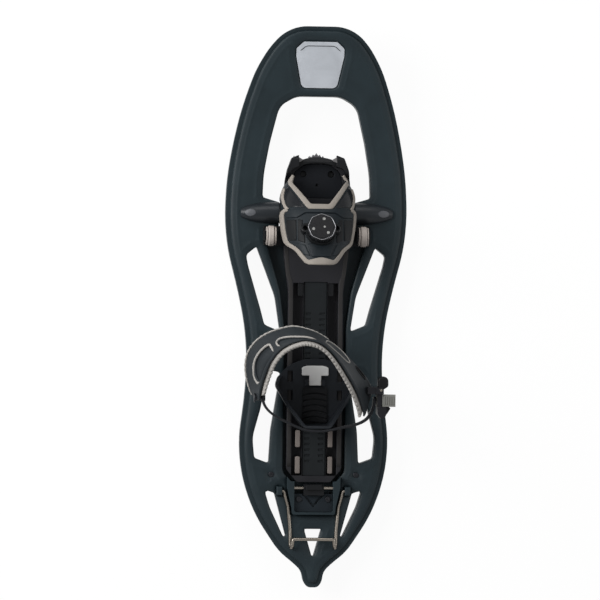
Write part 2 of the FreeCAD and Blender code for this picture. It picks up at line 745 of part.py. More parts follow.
def dial_marks():
    """Three bright ovals and a centre dot let into the dial's window."""
    seat, up = dial_frame()
    top = seat + up * (dial_base_h + 0.3 + 1.8 + dial_h + 0.2)
    side = up.cross(X_AXIS)
    marks = [Part.makeCylinder(1.3, 0.5, top + X_AXIS * 3.2, up)]
    for angle in (math.radians(75 + 120 * i) for i in range(3)):
        centre = top + (X_AXIS * math.cos(angle) + side * math.sin(angle)) * 10.6
        marks.append(Part.makeCylinder(1.7, 0.5, centre, up))
    return Part.makeCompound(marks)


# ---------------------------------------------------------------- side wheels
def side_bracket():
    """A shelf from the binding's side with two cheeks that hold the thumb wheel's pin."""
    shelf = box(36, 66, 77, 101, deck_top_z + 1.2, plate_top_z - 0.1)
    shelf = shelf.cut(prism(both_sides(PLATE), 0, 60))
    cheeks = []
    for x0 in (wheel_x - wheel_width / 2 - flange_t - 3.2, wheel_x + wheel_width / 2 + flange_t + 1.2):
        cheeks.append(box(x0, x0 + 2, wheel_y - 6, wheel_y + 6, plate_top_z - 1, wheel_z + 4))
    body = fuse([shelf] + cheeks)
    well = rod(V(wheel_x - wheel_width / 2 - flange_t - 0.8, wheel_y, wheel_z),
               V(wheel_x + wheel_width / 2 + flange_t + 0.8, wheel_y, wheel_z), wheel_r + 0.8)
    body = body.cut(well)
    return body.cut(rod(V(0, wheel_y, wheel_z), V(90, wheel_y, wheel_z), wheel_pin_r + 0.02))


def side_wheel():
    """A grooved thumb wheel with a thin flange on each side."""
    x0 = wheel_x - wheel_width / 2
    x1 = wheel_x + wheel_width / 2
    drum = rod(V(x0, wheel_y, wheel_z), V(x1, wheel_y, wheel_z), wheel_r)
    drum = drum.makeFillet(1.5, [e for e in drum.Edges if isinstance(e.Curve, Part.Circle)])
    end = flange_t + 0.6
    core = rod(V(x0 - end, wheel_y, wheel_z), V(x1 + end, wheel_y, wheel_z), wheel_r - 4)
    flanges = []
    for x in (x0 - end, x1 + 0.6):
        flanges.append(rod(V(x, wheel_y, wheel_z), V(x + flange_t, wheel_y, wheel_z), wheel_r - 1.2))
    body = fuse([drum, core] + flanges)
    return body.cut(rod(V(0, wheel_y, wheel_z), V(90, wheel_y, wheel_z), wheel_pin_r + 0.06))


def wheel_pin():
    x0 = wheel_x - wheel_width / 2 - flange_t - 3.2
    x1 = wheel_x + wheel_width / 2 + flange_t + 3.2
    return rod(V(x0, wheel_y, wheel_z), V(x1, wheel_y, wheel_z), wheel_pin_r)


# ---------------------------------------------------------------- heel unit
HEEL = [(14, heel_front_y, 30), (33, -71, 30), (47, -86, 8), (50, -96, 10), (38, -117, 30), (16, -147, 8)]


def heel_base():
    body = prism(both_sides(HEEL), heel_plate_z, heel_top_z)
    for side in (-1, 1):
        x0, x1 = sorted((side * (plate_half + lip_gap), side * (plate_half + 2.8)))
        body = body.fuse(box(x0, x1, -112, -82, heel_plate_z - 5, heel_plate_z + 1))
        for y0, y1 in ((-91, -77.5), (-114, -101.5)):
            s0, s1 = sorted((side * 27.5, side * 34.0))
            body = body.cut(box(s0, s1, y0, y1, 0, 80))
    body = body.cut(lever_pocket())
    for side in (-1, 1):
        x0, x1 = sorted((side * (lever_stem_half + 0.6), side * (lever_stem_half + 5)))
        body = body.fuse(box(x0, x1, lever_rear_y, lever_rear_y + 7, heel_plate_z, lever_z + lever_t + 1.0))
    return body.cut(lever_axis(20, lever_pin_r + 0.02)).removeSplitter()


def lever_axis(reach, radius):
    return cross_rod(reach, lever_rear_y + 3, lever_z + 2, radius)


def lever_pocket():
    """Room for the lever and for its tooth to swing up through the plate."""
    stem_x = lever_stem_half + 0.5
    stem = box(-stem_x, stem_x, lever_rear_y - 1.5, lever_front_y, lever_z - 0.4, 80)
    bar = box(-lever_bar_half - 0.6, lever_bar_half + 0.6, lever_front_y - lever_bar_depth - 0.6,
              lever_front_y + 0.8, lever_z - 0.4, 80)
    tooth = box(-7, 7, -81.5, -70.5, 0, 80)
    heel = box(-stem_x, stem_x, lever_rear_y - 1.5, lever_rear_y + 5, lever_z - 2.0, 80)
    return fuse([stem, bar, tooth, heel])


def lock_lever():
    """T-shaped lever; its tooth reaches down to the rack between the rails."""
    top = lever_z + lever_t
    head = [(10, lever_front_y, 12), (lever_bar_half, lever_front_y - 2.2, 2.5),
            (lever_bar_half, lever_front_y - lever_bar_depth, 1.5)]
    bar = prism(both_sides(head), lever_z, top)
    stem = box(-lever_stem_half, lever_stem_half, lever_rear_y, lever_front_y - 4, lever_z, top)
    tooth = box(-5.5, 5.5, -80, -76.5, rack_top_z + lip_gap, lever_z + 1)
    body = fuse([bar, stem, tooth])
    upper = [e for e in body.Edges if e.BoundBox.ZMin > top - 0.01]
    body = body.makeChamfer(0.5, upper)
    return body.cut(lever_axis(20, lever_pin_r + 0.05))


def lever_pin():
    return lever_axis(lever_stem_half + 4.6, lever_pin_r)


def heel_pad():
    """Ribbed rubber pad behind the lever."""
    body = box(-15, 15, -141, lever_rear_y - 2.5, heel_top_z, heel_top_z + 3.2)
    for i in range(6):
        centre = V(0, -142 + i * 7.2 - 40, heel_top_z + 1.6)
        ring = Part.makeCylinder(41.4, 5, centre).cut(Part.makeCylinder(40, 5, centre))
        body = body.cut(ring)
    return body


def heel_cup():
    outline = prism(both_sides(HEEL), heel_top_z, 120)
    inside = prism(grown(both_sides(HEEL), -cup_wall), heel_top_z - 1, 121)
    profile = side_prism([(-84, heel_top_z, 0), (-86, cup_front_z, 4), (-122, 66, 20), (-150, cup_rear_z, 4),
                          (-152, heel_top_z, 0)], -70, 70)
    return outline.cut(inside).common(profile)


def band_section(low, high, inward, thickness, extra):
    """A four-sided strap section from its lower and upper edge, thickened inward."""
    rise = (high - low).normalize()
    a = low - rise * extra
    b = high + rise * extra
    return Part.makePolygon([a, b, b + inward * thickness, a + inward * thickness, a])


def strap(stations, thickness, offset=0.0, extra=0.0):
    """A loft through strap stations (lower point, upper point)."""
    middle = [(low + high) * 0.5 for low, high in stations]
    wires = []
    for i, (low, high) in enumerate(stations):
        along = middle[min(i + 1, len(middle) - 1)] - middle[max(i - 1, 0)]
        inward = along.cross(high - low).normalize()
        wires.append(band_section(low + inward * offset, high + inward * offset, inward, thickness, extra))
    return loft(wires)


# lower and upper edge of the ankle strap from its left rivet round to its right end
ANKLE = [((-74, -115, 71), (-73, -113.5, 93)), ((-82.5, -101, 71), (-71, -99, 98)),
         ((-88, -78, 74), (-66, -81, 107)), ((-86.5, -58, 79), (-60.5, -65.5, 116)),
         ((-78, -43, 84), (-51.5, -52.5, 124)), ((-66, -33, 88), (-41.5, -44.5, 130)),
         ((-50, -26, 92), (-31, -39.5, 134)), ((-31, -22, 96.5), (-18, -37, 137)),
         ((-10, -26.5, 99), (-2, -40.5, 137)), ((4, -33, 98.5), (11, -49.5, 134)),
         ((21, -44, 96), (24, -65, 128)), ((39, -60, 92), (36.5, -84, 120)),
         ((54.5, -76.5, 86), (46, -100.5, 112)), ((63.5, -88, 81), (52.5, -115.5, 105)),
         ((67.5, -97.5, 78), (56, -126, 100)), ((66, -106, 76), (57, -133, 96))]
# plan of the heel band's inner face from left to right
HEEL_BAND = [(-66.4, -104.5), (-65.8, -111.5), (-63.8, -118), (-59, -124.5), (-50.6, -131), (-35, -139),
             (-20, -145.6), (-10, -148.2), (2, -148.8), (12, -147.8), (27, -144.8), (46, -140.6),
             (58.5, -134.5), (65, -125.5), (67.9, -116), (68.4, -106)]


def ankle_stations():
    return [(V(*low), V(*high)) for low, high in ANKLE]


def rivet_line(x0, x1, radius):
    return rod(V(x0, rivet_y, rivet_z), V(x1, rivet_y, rivet_z), radius)


def ankle_strap():
    body = strap(ankle_stations(), strap_t)
    return body.cut([rivet_line(-90, -60, rivet_r + 0.1), rivet_line(-90, rivet_head_x + 0.1, rivet_r + 2.9)])


def ankle_liner():
    body = strap(ankle_stations(), liner_t, strap_t + lip_gap, 2.5)
    return body.cut(box(-100, -50, -140, -99, 60, 120))


def heel_band():
    """Outer strap round the back of the cup, carrying both rivets."""
    stations = [(V(x, y, band_low_z), V(x, y, band_high_z)) for x, y in HEEL_BAND]
    body = strap(stations, band_t)
    return body.cut(rivet_line(-90, -60, rivet_r + 0.02)).cut(rivet_line(60, 90, rivet_r + 0.02))


def strap_rivets():
    """One rivet at each end of the heel band; the ankle strap tilts on them."""
    head = rivet_line(rivet_head_x, rivet_head_x - 1.6, rivet_r + 2.5)
    left = fuse([rivet_line(-65.2, rivet_head_x, rivet_r), head, rivet_line(-64, -65.2, rivet_r + 0.8)])
    right = rivet_line(68.6, 74.6, rivet_r).fuse(rivet_line(74.6, 76.0, rivet_r + 2.0))
    return Part.makeCompound([left, right])


# ---------------------------------------------------------------- ratchet buckle
BUCKLE_KITE = [(78, -103.6), (81.5, -110), (83.6, -127), (80.8, -133.5), (76.6, -133.5), (buckle_x, -128),
               (buckle_x, -103.6)]
BUCKLE_NUB = [(80, -117.5, 1), (84.5, -117.5, 1), (89, -121, 1.5), (84.3, -128.5, 1), (80, -128.5, 1)]


def ladder_path(offset):
    """Side line of the ladder strap in the XZ plane, as (x, z), moved to one side."""
    return [(71.8 + offset, 76), (71.8 + offset, 88), (77.5 + offset * 0.5, 93.5 - offset),
            (94.0, 98.2 - offset)]


def ladder_shape(gap=0.0):
    front = ladder_front_y + gap
    rear = ladder_rear_y - gap
    near = ladder_path(-gap)
    far = ladder_path(ladder_t + gap)
    points = [V(x, rear, z) for x, z in near + far[::-1]]
    return Part.Face(Part.makePolygon(points + [points[0]])).extrude(V(0, front - rear, 0))


def ladder_strap():
    """Toothed strap riveted to the heel band; its free end passes through the buckle."""
    body = ladder_shape()
    for i in range(5):
        x = 80.5 + i * 2.6
        z = 93.5 + (x - 77.5) * 4.7 / 16.5
        tooth = box(x, x + 1.3, ladder_rear_y + 2.5, ladder_front_y - 2.5, z, z + 1.1)
        body = body.fuse(tooth)
    return body.cut(rivet_line(60, 90, rivet_r + 0.1)).removeSplitter()


def buckle_body():
    kite = Part.Face(Part.makePolygon([V(x, y, buckle_low_z) for x, y in BUCKLE_KITE + BUCKLE_KITE[:1]]))
    body = kite.extrude(V(0, 0, buckle_high_z - buckle_low_z))
    foot = box(60, buckle_x, -103.8, -95, buckle_low_z + 1, buckle_high_z - 1)
    ears = []
    for z0, z1 in ((buckle_low_z, 78.7), (93.3, buckle_high_z)):
        ear = box(buckle_x - 2, buckle_pin_x + 3.2, -104.5, buckle_pin_y + 3.2, z0, z1)
        outer = [e for e in ear.Edges if e.BoundBox.XMin > buckle_pin_x + 3]
        ears.append(ear.makeFillet(2.5, [e for e in outer if e.BoundBox.YMin > buckle_pin_y]))
    nub = prism(BUCKLE_NUB, 80, 90)
    body = fuse([body, foot, nub] + ears)
    body = body.cut(ladder_shape(0.3)).cut(box(66, 90, ladder_rear_y - 0.3, ladder_front_y + 0.3, 94, 120))
    body = body.cut(strap(ankle_stations(), 40, -0.3, 12))
    body = body.cut(rivet_line(60, 90, rivet_r + 3))
    return body.cut(buckle_axis(60, 120, buckle_pin_r + 0.02))


def buckle_axis(z0, z1, radius):
    return rod(V(buckle_pin_x, buckle_pin_y, z0), V(buckle_pin_x, buckle_pin_y, z1), radius)


def buckle_pin():
    return buckle_axis(buckle_low_z, buckle_high_z, buckle_pin_r)


def buckle_lever():
    """Release lever with a rounded thumb end, hinged on the buckle's upright pin."""
    barrel = Part.makeCylinder(3.0, 14, V(buckle_pin_x, buckle_pin_y, 79))
    plan = [(buckle_pin_x - 2.5, buckle_pin_y, 1), (buckle_pin_x + 2.5, buckle_pin_y, 1), (86, -94.5, 4),
            (85.8, -82.3, 6), (72.8, -82.3, 5), (72.8, -94.5, 3)]
    thumb = prism(plan, 79, 93)
    body = fuse([barrel, thumb])
    rounded = [e for e in body.Edges if e.BoundBox.YMax > -95 and e.BoundBox.ZMax - e.BoundBox.ZMin < 0.01]
    body = body.makeFillet(2.5, rounded)
    return body.cut(buckle_axis(60, 120, buckle_pin_r + 0.06))


# ---------------------------------------------------------------- heel lifter and tail latch
def lifter():
    """Wire bail: two legs, hooked ends and a raised cross bar."""
    z = lifter_pivot_z
    end = lifter_end_y
    side = [V(socket_outer - 2, lifter_pivot_y, z), V(36.5, lifter_pivot_y, z), V(31, lifter_pivot_y - 20, z),
            V(28.5, end + 18, z + 0.5), V(28, end, z + 1.3), V(27, end - 3.6, z + 5.0), V(26, end, z + 8.6),
            V(25, end + 8, z + 8.8)]
    points = side + [V(-p.x, p.y, p.z) for p in reversed(side)]
    return tube(rounded_path(points, 2.3), wire_r)


def tail_latch():
    """Small block that can tip forward over the binding's tail."""
    barrel = cross_rod(latch_half, latch_y, latch_z, latch_r)
    tab = box(-latch_half, latch_half, latch_y - 9, latch_y, latch_z + 0.5, latch_z + latch_r)
    hook = box(-latch_half + 3, latch_half - 3, latch_y - 2, latch_y + 4.2, latch_z + 1, latch_z + 8)
    body = fuse([barrel, tab, hook])
    return body.cut(cross_rod(40, latch_y, latch_z, latch_pin_r + 0.06))


def latch_bar():
    return cross_rod(cheek_outer - 3.3, latch_y, latch_z, latch_pin_r)


def tail_insert():
    """Moulded block in the tail pocket with a V-shaped relief."""
    floor_z = trough_floor_z + 3
    gap = 0.3
    half = cheek_inner - gap
    body = box(-half, half, pocket_end_y + gap, latch_y - 7.5, floor_z, insert_top_z)
    body = body.makeFillet(2.6, [e for e in upright(body) if e.BoundBox.YMax < pocket_end_y + 2])
    low = insert_top_z - 3
    front = latch_y - 7
    relief = prism([(-14, front, 1), (14, front, 1), (0, front - 18, 1.5)], low, 60)
    core = prism([(-8.5, front - 2.5, 0.6), (8.5, front - 2.5, 0.6), (0, front - 13.5, 1.0)], low, low + 2)
    body = body.cut(relief).fuse(core)
    body = body.cut(box(-latch_half - 1, latch_half + 1, latch_y - 10, latch_y, latch_z - latch_r, 60))
    for side in (-1, 1):
        body = body.cut(Part.makeCylinder(1.9, 40, V(side * INSERT_SCREWS[0][0], INSERT_SCREWS[0][1], 10)))
    return body


def build():
    save("deck", deck())
    save("nose_badge", badge())
    save("deck_spikes", deck_spikes())
    save("deck_screws", screws(SMALL_SCREWS, deck_top_z, 8, 1.5, 3.4))
    save("insert_screws", screws(INSERT_SCREWS, insert_top_z - lift(INSERT_SCREWS[0][1]), 18, 1.8, 3.6))
    save("tail_insert", tail_insert())
    save("tail_latch", tail_latch())
    save("latch_bar", latch_bar())
    cover = pivot_cover()
    save("pivot_cover_right", cover)
    save("pivot_cover_left", mirrored(cover))
    save("pivot_axle", axle())
    save("pivot_bushes", Part.makeCompound([bush(), mirrored(bush())]))
    save("binding_plate", binding_plate())
    save("toe_plate", toe_plate())
    save("toe_bumper", toe_bumper())
    save("size_rack", size_rack())
    save("sole_pads", sole_pads())
    save("channel_tabs", channel_tabs())
    save("front_claw", front_claw())
    save("claw_rivets", claw_rivets())
    shell, front, rear = harness()
    save("harness_shell", shell)
    save("harness_front_trim", front)
    save("harness_rear_trim", rear)
    save("dial_base", dial_base())
    save("dial_spindle", dial_spindle())
    save("dial_knob", dial_knob())
    save("dial_window", dial_window())
    save("dial_marks", dial_marks())
    pairs = {"side_bracket": side_bracket(), "side_wheel": side_wheel(), "wheel_pin": wheel_pin()}
    for name, shape in pairs.items():
        save(name + "_right", shape)
        save(name + "_left", mirrored(shape))
    save("heel_base", heel_base())
    save("lock_lever", lock_lever())
    save("lever_pin", lever_pin())
    save("heel_pad", heel_pad())
    save("heel_cup", heel_cup())
    save("ankle_strap", ankle_strap())
    save("ankle_liner", ankle_liner())
    save("heel_band", heel_band())
    save("strap_rivets", strap_rivets())
    save("buckle_body", buckle_body())
    save("buckle_pin", buckle_pin())
    save("buckle_lever", buckle_lever())
    save("ladder_strap", ladder_strap())
    save("heel_lifter", lifter())


build()
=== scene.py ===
import math

import bmesh
import bpy
import numpy as np
from mathutils import Matrix, Vector
from mathutils.bvhtree import BVHTree
from mathutils.geometry import delaunay_2d_cdt
from mathutils.kdtree import KDTree

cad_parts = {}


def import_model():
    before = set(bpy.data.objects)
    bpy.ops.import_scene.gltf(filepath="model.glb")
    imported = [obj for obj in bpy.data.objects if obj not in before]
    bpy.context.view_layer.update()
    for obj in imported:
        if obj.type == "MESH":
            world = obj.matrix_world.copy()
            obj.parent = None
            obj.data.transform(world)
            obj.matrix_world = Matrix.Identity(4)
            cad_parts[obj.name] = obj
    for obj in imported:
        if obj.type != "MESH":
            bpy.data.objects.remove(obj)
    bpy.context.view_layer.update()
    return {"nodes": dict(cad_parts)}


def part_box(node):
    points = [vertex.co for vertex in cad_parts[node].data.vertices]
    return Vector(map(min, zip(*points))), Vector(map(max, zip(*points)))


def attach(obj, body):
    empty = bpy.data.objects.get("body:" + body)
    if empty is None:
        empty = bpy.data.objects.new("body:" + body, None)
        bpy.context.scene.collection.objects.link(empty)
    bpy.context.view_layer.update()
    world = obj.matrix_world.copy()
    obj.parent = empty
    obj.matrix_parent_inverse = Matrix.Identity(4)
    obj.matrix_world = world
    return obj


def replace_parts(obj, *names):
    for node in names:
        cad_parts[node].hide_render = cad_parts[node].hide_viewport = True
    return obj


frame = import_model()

nodes = frame["nodes"]
MM = 0.001
SIDES = ((-1, "left"), (1, "right"))
UP = np.array([0.0, 0.0, 1.0])


# ------------ materials
# the display curve is a straight line for values under this one
STRAIGHT_BELOW = 10.3
# cosines of the turn of a rounded edge where its paler colour, part wear and part painted highlight, starts
# and where it is full
EDGE_START, EDGE_FULL = 0.995, 0.80


def linear(value):
    """One channel of a display colour, 0 to 255, in linear light."""
    if value < STRAIGHT_BELOW:
        return value / 255 / 12.92
    return ((value / 255 + 0.055) / 1.055) ** 2.4


def srgb(r, g, b):
    """A display colour, 0 to 255, as a shader's colour."""
    return (linear(r), linear(g), linear(b), 1.0)


def scaled(colour, factor):
    return tuple(min(c * factor, 1.0) for c in colour[:3]) + (1.0,)


class Shader:
    """Builds one Principled material with its colour, roughness and bump from nodes."""

    def __init__(self, name, rough, metallic=0.0, specular=0.5):
        self.material = bpy.data.materials.new(name)
        self.material.use_nodes = True
        self.tree = self.material.node_tree
        self.bsdf = self.tree.nodes["Principled BSDF"]
        self.bsdf.inputs["Roughness"].default_value = rough
        self.bsdf.inputs["Metallic"].default_value = metallic
        self.bsdf.inputs["Specular IOR Level"].default_value = specular
        self.place = self.node("ShaderNodeTexCoord").outputs["Object"]

    def node(self, kind, **settings):
        made = self.tree.nodes.new(kind)
        for key, value in settings.items():
            setattr(made, key, value)
        return made

    def feed(self, value, socket):
        """Gives a socket a number or a colour, or links another node's output to it."""
        if isinstance(value, bpy.types.NodeSocket):
            self.tree.links.new(value, socket)
        else:
            socket.default_value = value

    def noise(self, scale, detail, stretch=(1, 1, 1), distortion=0.0):
        mapping = self.node("ShaderNodeMapping")
        mapping.inputs["Scale"].default_value = stretch
        self.feed(self.place, mapping.inputs["Vector"])
        made = self.node("ShaderNodeTexNoise")
        made.inputs["Scale"].default_value = scale
        made.inputs["Detail"].default_value = detail
        made.inputs["Distortion"].default_value = distortion
        self.feed(mapping.outputs[0], made.inputs["Vector"])
        return made.outputs["Fac"]

    def ramp(self, source, low, high, a, b):
        """Colour a where source is under low, b where it is over high."""
        made = self.node("ShaderNodeValToRGB")
        made.color_ramp.elements[0].position = low
        made.color_ramp.elements[0].color = a
        made.color_ramp.elements[1].position = high
        made.color_ramp.elements[1].color = b
        self.feed(source, made.inputs["Fac"])
        return made.outputs["Color"]

    def span(self, source, low, high):
        """The source, 0 to 1, spread from low to high."""
        made = self.node("ShaderNodeMapRange")
        made.inputs["To Min"].default_value = low
        made.inputs["To Max"].default_value = high
        self.feed(source, made.inputs["Value"])
        return made.outputs["Result"]

    def mix(self, factor, a, b):
        made = self.node("ShaderNodeMix", data_type="RGBA")
        self.feed(factor, made.inputs[0])
        self.feed(a, made.inputs[6])
        self.feed(b, made.inputs[7])
        return made.outputs[2]

    def product(self, a, b):
        made = self.node("ShaderNodeMath", operation="MULTIPLY")
        self.feed(a, made.inputs[0])
        self.feed(b, made.inputs[1])
        return made.outputs[0]

    def edges(self, radius):
        """Rounded normals, and a mask that is bright where a surface turns sharply."""
        bevel = self.node("ShaderNodeBevel", samples=4)
        bevel.inputs["Radius"].default_value = radius
        geometry = self.node("ShaderNodeNewGeometry")
        dot = self.node("ShaderNodeVectorMath", operation="DOT_PRODUCT")
        self.feed(bevel.outputs["Normal"], dot.inputs[0])
        self.feed(geometry.outputs["Normal"], dot.inputs[1])
        mask = self.node("ShaderNodeMapRange")
        mask.inputs["From Min"].default_value = EDGE_START
        mask.inputs["From Max"].default_value = EDGE_FULL
        self.feed(dot.outputs["Value"], mask.inputs["Value"])
        return bevel.outputs["Normal"], mask.outputs["Result"]

    def bump(self, height, distance, normal):
        made = self.node("ShaderNodeBump")
        made.inputs["Strength"].default_value = 1.0
        made.inputs["Distance"].default_value = distance
        self.feed(height, made.inputs["Height"])
        self.feed(normal, made.inputs["Normal"])
        return made.outputs["Normal"]

    def done(self, colour, normal, rough):
        self.feed(colour, self.bsdf.inputs["Base Color"])
        self.feed(normal, self.bsdf.inputs["Normal"])
        self.feed(rough, self.bsdf.inputs["Roughness"])
        return self.material


def moulded(name, colour, rough, grain=0.00006, grain_size=0.0007, bevel=0.0008, edge_wear_and_highlight=1.5, specular=0.12):
    """Moulded plastic: fine grain, faint flow marks, and edges painted a little paler, partly rub wear and
    partly painted highlight.
    """
    s = Shader(name, rough, specular=specular)
    normal, edge = s.edges(bevel)
    flow = s.noise(28, 4.0, distortion=0.6)
    base = s.ramp(flow, 0.35, 0.65, scaled(colour, 0.9), scaled(colour, 1.1))
    speck = s.noise(1 / grain_size, 3.0)
    base = s.mix(s.span(speck, 0.0, 0.35), base, scaled(colour, 0.8))
    # edges painted paler: part rub wear, part painted highlight where they catch the lamps
    wear_and_highlight_mask = s.product(edge, s.span(s.noise(160, 5.0), 0.15, 0.55))
    base = s.mix(wear_and_highlight_mask, base, scaled(colour, 1 + edge_wear_and_highlight))
    return s.done(base, s.bump(speck, grain, normal), s.span(flow, rough - 0.05, rough + 0.07))


def rubber(name, colour, rough=0.7):
    """Soft rubber or foam with fine pores, slightly darker where the pores lie low, and edges painted paler
    as painted highlight.
    """
    s = Shader(name, rough, specular=0.1)
    normal, edge = s.edges(0.0008)
    broad = s.noise(45, 5.0, distortion=0.4)
    base = s.ramp(broad, 0.3, 0.7, scaled(colour, 0.92), scaled(colour, 1.08))
    pores = s.noise(1 / 0.0009, 4.0)
    base = s.mix(s.span(pores, 0.5, -0.25), base, scaled(colour, 0.75))
    # painted highlight: edges painted paler
    base = s.mix(s.product(edge, 0.35), base, scaled(colour, 1.25))
    s.bsdf.inputs["Sheen Weight"].default_value = 0.02
    s.bsdf.inputs["Sheen Roughness"].default_value = 0.5
    return s.done(base, s.bump(pores, 0.00008, normal), s.span(broad, rough - 0.06, rough + 0.08))


def steel(name, colour, rough, stretch=(1, 1, 1)):
    """Bare or blackened steel with drawn or brushed scratches and bright edges."""
    s = Shader(name, rough, metallic=1.0)
    normal, edge = s.edges(0.0004)
    lines = s.noise(700, 6.0, stretch)
    patches = s.noise(70, 4.0, distortion=1.0)
    base = s.ramp(lines, 0.3, 0.7, scaled(colour, 0.82), scaled(colour, 1.15))
    base = s.mix(s.span(patches, 0.0, 0.5), base, scaled(colour, 0.7))
    # painted highlight: edges painted brighter
    base = s.mix(edge, base, scaled(colour, 1.7))
    return s.done(base, s.bump(lines, 0.00003, normal), s.span(patches, rough - 0.08, rough + 0.14))


def glossy(name, colour, rough=0.12):
    """Clear-coated gloss plastic with faint rub marks."""
    s = Shader(name, rough, specular=0.12)
    normal, edge = s.edges(0.0004)
    marks = s.noise(420, 6.0, (1, 6, 1))
    base = s.ramp(marks, 0.4, 0.6, scaled(colour, 0.9), scaled(colour, 1.15))
    # painted highlight: edges painted paler
    base = s.mix(s.product(edge, 0.5), base, scaled(colour, 3.0))
    s.bsdf.inputs["Coat Weight"].default_value = 0.12
    s.bsdf.inputs["Coat Roughness"].default_value = 0.06
    return s.done(base, s.bump(marks, 0.00001, normal), s.span(marks, rough, rough + 0.12))


# the material of each CAD node, or the node that it shares one with, then those of the scene's own pieces;
# a right-hand node has its left-hand one's
looks = {
    "deck": moulded("deck_moulded", srgb(30, 39, 43), 0.44, grain_size=0.0008, bevel=0.0012, specular=0.14),
    "nose_badge": moulded("badge_satin", srgb(170, 174, 180), 0.34, grain=0.00002, edge_wear_and_highlight=0.15),
    "deck_spikes": steel("spike_steel", srgb(138, 138, 140), 0.34, (1, 1, 0.05)),
    "deck_screws": steel("screw_steel", srgb(44, 45, 48), 0.4),
    "insert_screws": "deck_screws",
    "tail_insert": moulded("insert_moulded", srgb(25, 31, 36), 0.5),
    "tail_latch": moulded("black_moulded", srgb(18, 19, 21), 0.42),
    "latch_bar": steel("wire_steel", srgb(122, 116, 108), 0.26, (0.05, 1, 1)),
    "heel_lifter": "latch_bar",
    "pivot_axle": "deck_screws",
    "pivot_cover_left": moulded("cover_moulded", srgb(27, 31, 35), 0.34, bevel=0.001, specular=0.2),
    "pivot_bushes": moulded("bush_moulded", srgb(58, 58, 58), 0.5),
    "binding_plate": moulded("binding_moulded", srgb(33, 33, 36), 0.5, bevel=0.001, edge_wear_and_highlight=1.6),
    "toe_bumper": "tail_latch",
    "size_rack": moulded("rack_moulded", srgb(24, 27, 29), 0.45, bevel=0.0006),
    "channel_tabs": "tail_latch",
    "front_claw": steel("claw_steel", srgb(92, 91, 94), 0.42, (1, 0.1, 1)),
    "claw_rivets": "deck_screws",
    "harness_shell": moulded("harness_moulded", srgb(22, 28, 32), 0.42, bevel=0.001),
    "dial_base": moulded("dial_base_moulded", srgb(13, 15, 17), 0.5),
    "dial_spindle": "dial_base",
    "dial_knob": moulded("dial_moulded", srgb(24, 25, 27), 0.36, bevel=0.0006),
    "dial_window": glossy("dial_gloss", srgb(22, 22, 24)),
    # the pale ovals on the dial's glossy top are painted reflections of the lamps
    "dial_marks": moulded("dial_painted_reflections", srgb(138, 138, 136), 0.4, bevel=0.0002),
    "side_wheel_left": moulded("wheel_moulded", srgb(168, 160, 154), 0.5, bevel=0.0006, edge_wear_and_highlight=0.15),
    "side_bracket_left": "tail_latch",
    "wheel_pin_left": "deck_screws",
    "heel_base": moulded("heel_moulded", srgb(27, 30, 34), 0.48, bevel=0.0009),
    "heel_cup": "heel_base",
    "lever_pin": "latch_bar",
    "lock_lever": moulded("lever_moulded", srgb(200, 200, 199), 0.45, bevel=0.0006, edge_wear_and_highlight=0.15),
    "strap_rivets": "deck_screws",
    "buckle_body": moulded("buckle_moulded", srgb(26, 26, 29), 0.4, bevel=0.0008),
    "buckle_pin": "latch_bar",
    "buckle_lever": moulded("buckle_black", srgb(20, 20, 22), 0.38, bevel=0.0008),
    "ladder_strap": moulded("ladder_moulded", srgb(112, 112, 108), 0.5, bevel=0.0005, edge_wear_and_highlight=0.2),
    "toe_plate": rubber("toe_rubber", srgb(15, 17, 21)),
    "sole_pads": rubber("pad_rubber", srgb(112, 105, 101)),
    "harness_front_trim": rubber("trim_rubber", srgb(134, 128, 121), 0.55),
    "harness_rear_trim": "harness_front_trim",
    "heel_pad": rubber("heel_rubber", srgb(24, 25, 27)),
    "ankle_strap": rubber("strap_rubber", srgb(34, 38, 41), 0.52),
    "ankle_liner": rubber("liner_foam", srgb(146, 143, 139), 0.75),
    "heel_band": rubber("band_rubber", srgb(26, 27, 30), 0.5),
    # paler plate rims: painted highlight along the plate's edges
    "plate_rim": moulded("plate_rim", srgb(44, 43, 43), 0.42, bevel=0.0005, edge_wear_and_highlight=0.8),
    # paler horn gussets: painted highlight
    "horn_gusset": moulded("horn_painted_highlight", srgb(84, 83, 84), 0.4, bevel=0.0005),
    # pale patch on each pivot cover's end: painted highlight
    "cover_facet": moulded("cover_painted_highlight", srgb(72, 74, 78), 0.3, bevel=0.0006, specular=0.2),
    "harness_wing": glossy("harness_gloss", srgb(20, 22, 25), 0.16),
    "dial_ring": steel("dial_ring", srgb(132, 132, 135), 0.3),
}


def look(node):
    found = looks.get(node) or node.replace("_right", "_left")
    return look(found) if isinstance(found, str) else found


def dress(obj, material):
    obj.data.materials.clear()
    obj.data.materials.append(material)


for node_name, node in nodes.items():
    dress(node, look(node_name))


# ------------ paths and directions
def unit(vectors):
    return vectors / np.linalg.norm(vectors, axis=-1, keepdims=True)


def distances(path):
    """How far along a path each of its points lies."""
    return np.concatenate([[0], np.cumsum(np.linalg.norm(np.diff(path, axis=0), axis=1))])


def sideways(path):
    """The direction across a path in plan, at each of its points."""
    tangent = unit(np.gradient(path, axis=0))
    return np.stack([-tangent[:, 1], tangent[:, 0]], 1)


def turns(count):
    """Angles spread evenly round a circle."""
    return np.arange(count) / count * 2 * math.pi


def ring_of(radius, count):
    return [(radius * math.cos(a), radius * math.sin(a)) for a in turns(count)]


def mirrored(outline, side):
    return [(side * x, y) for x, y in outline][::side]


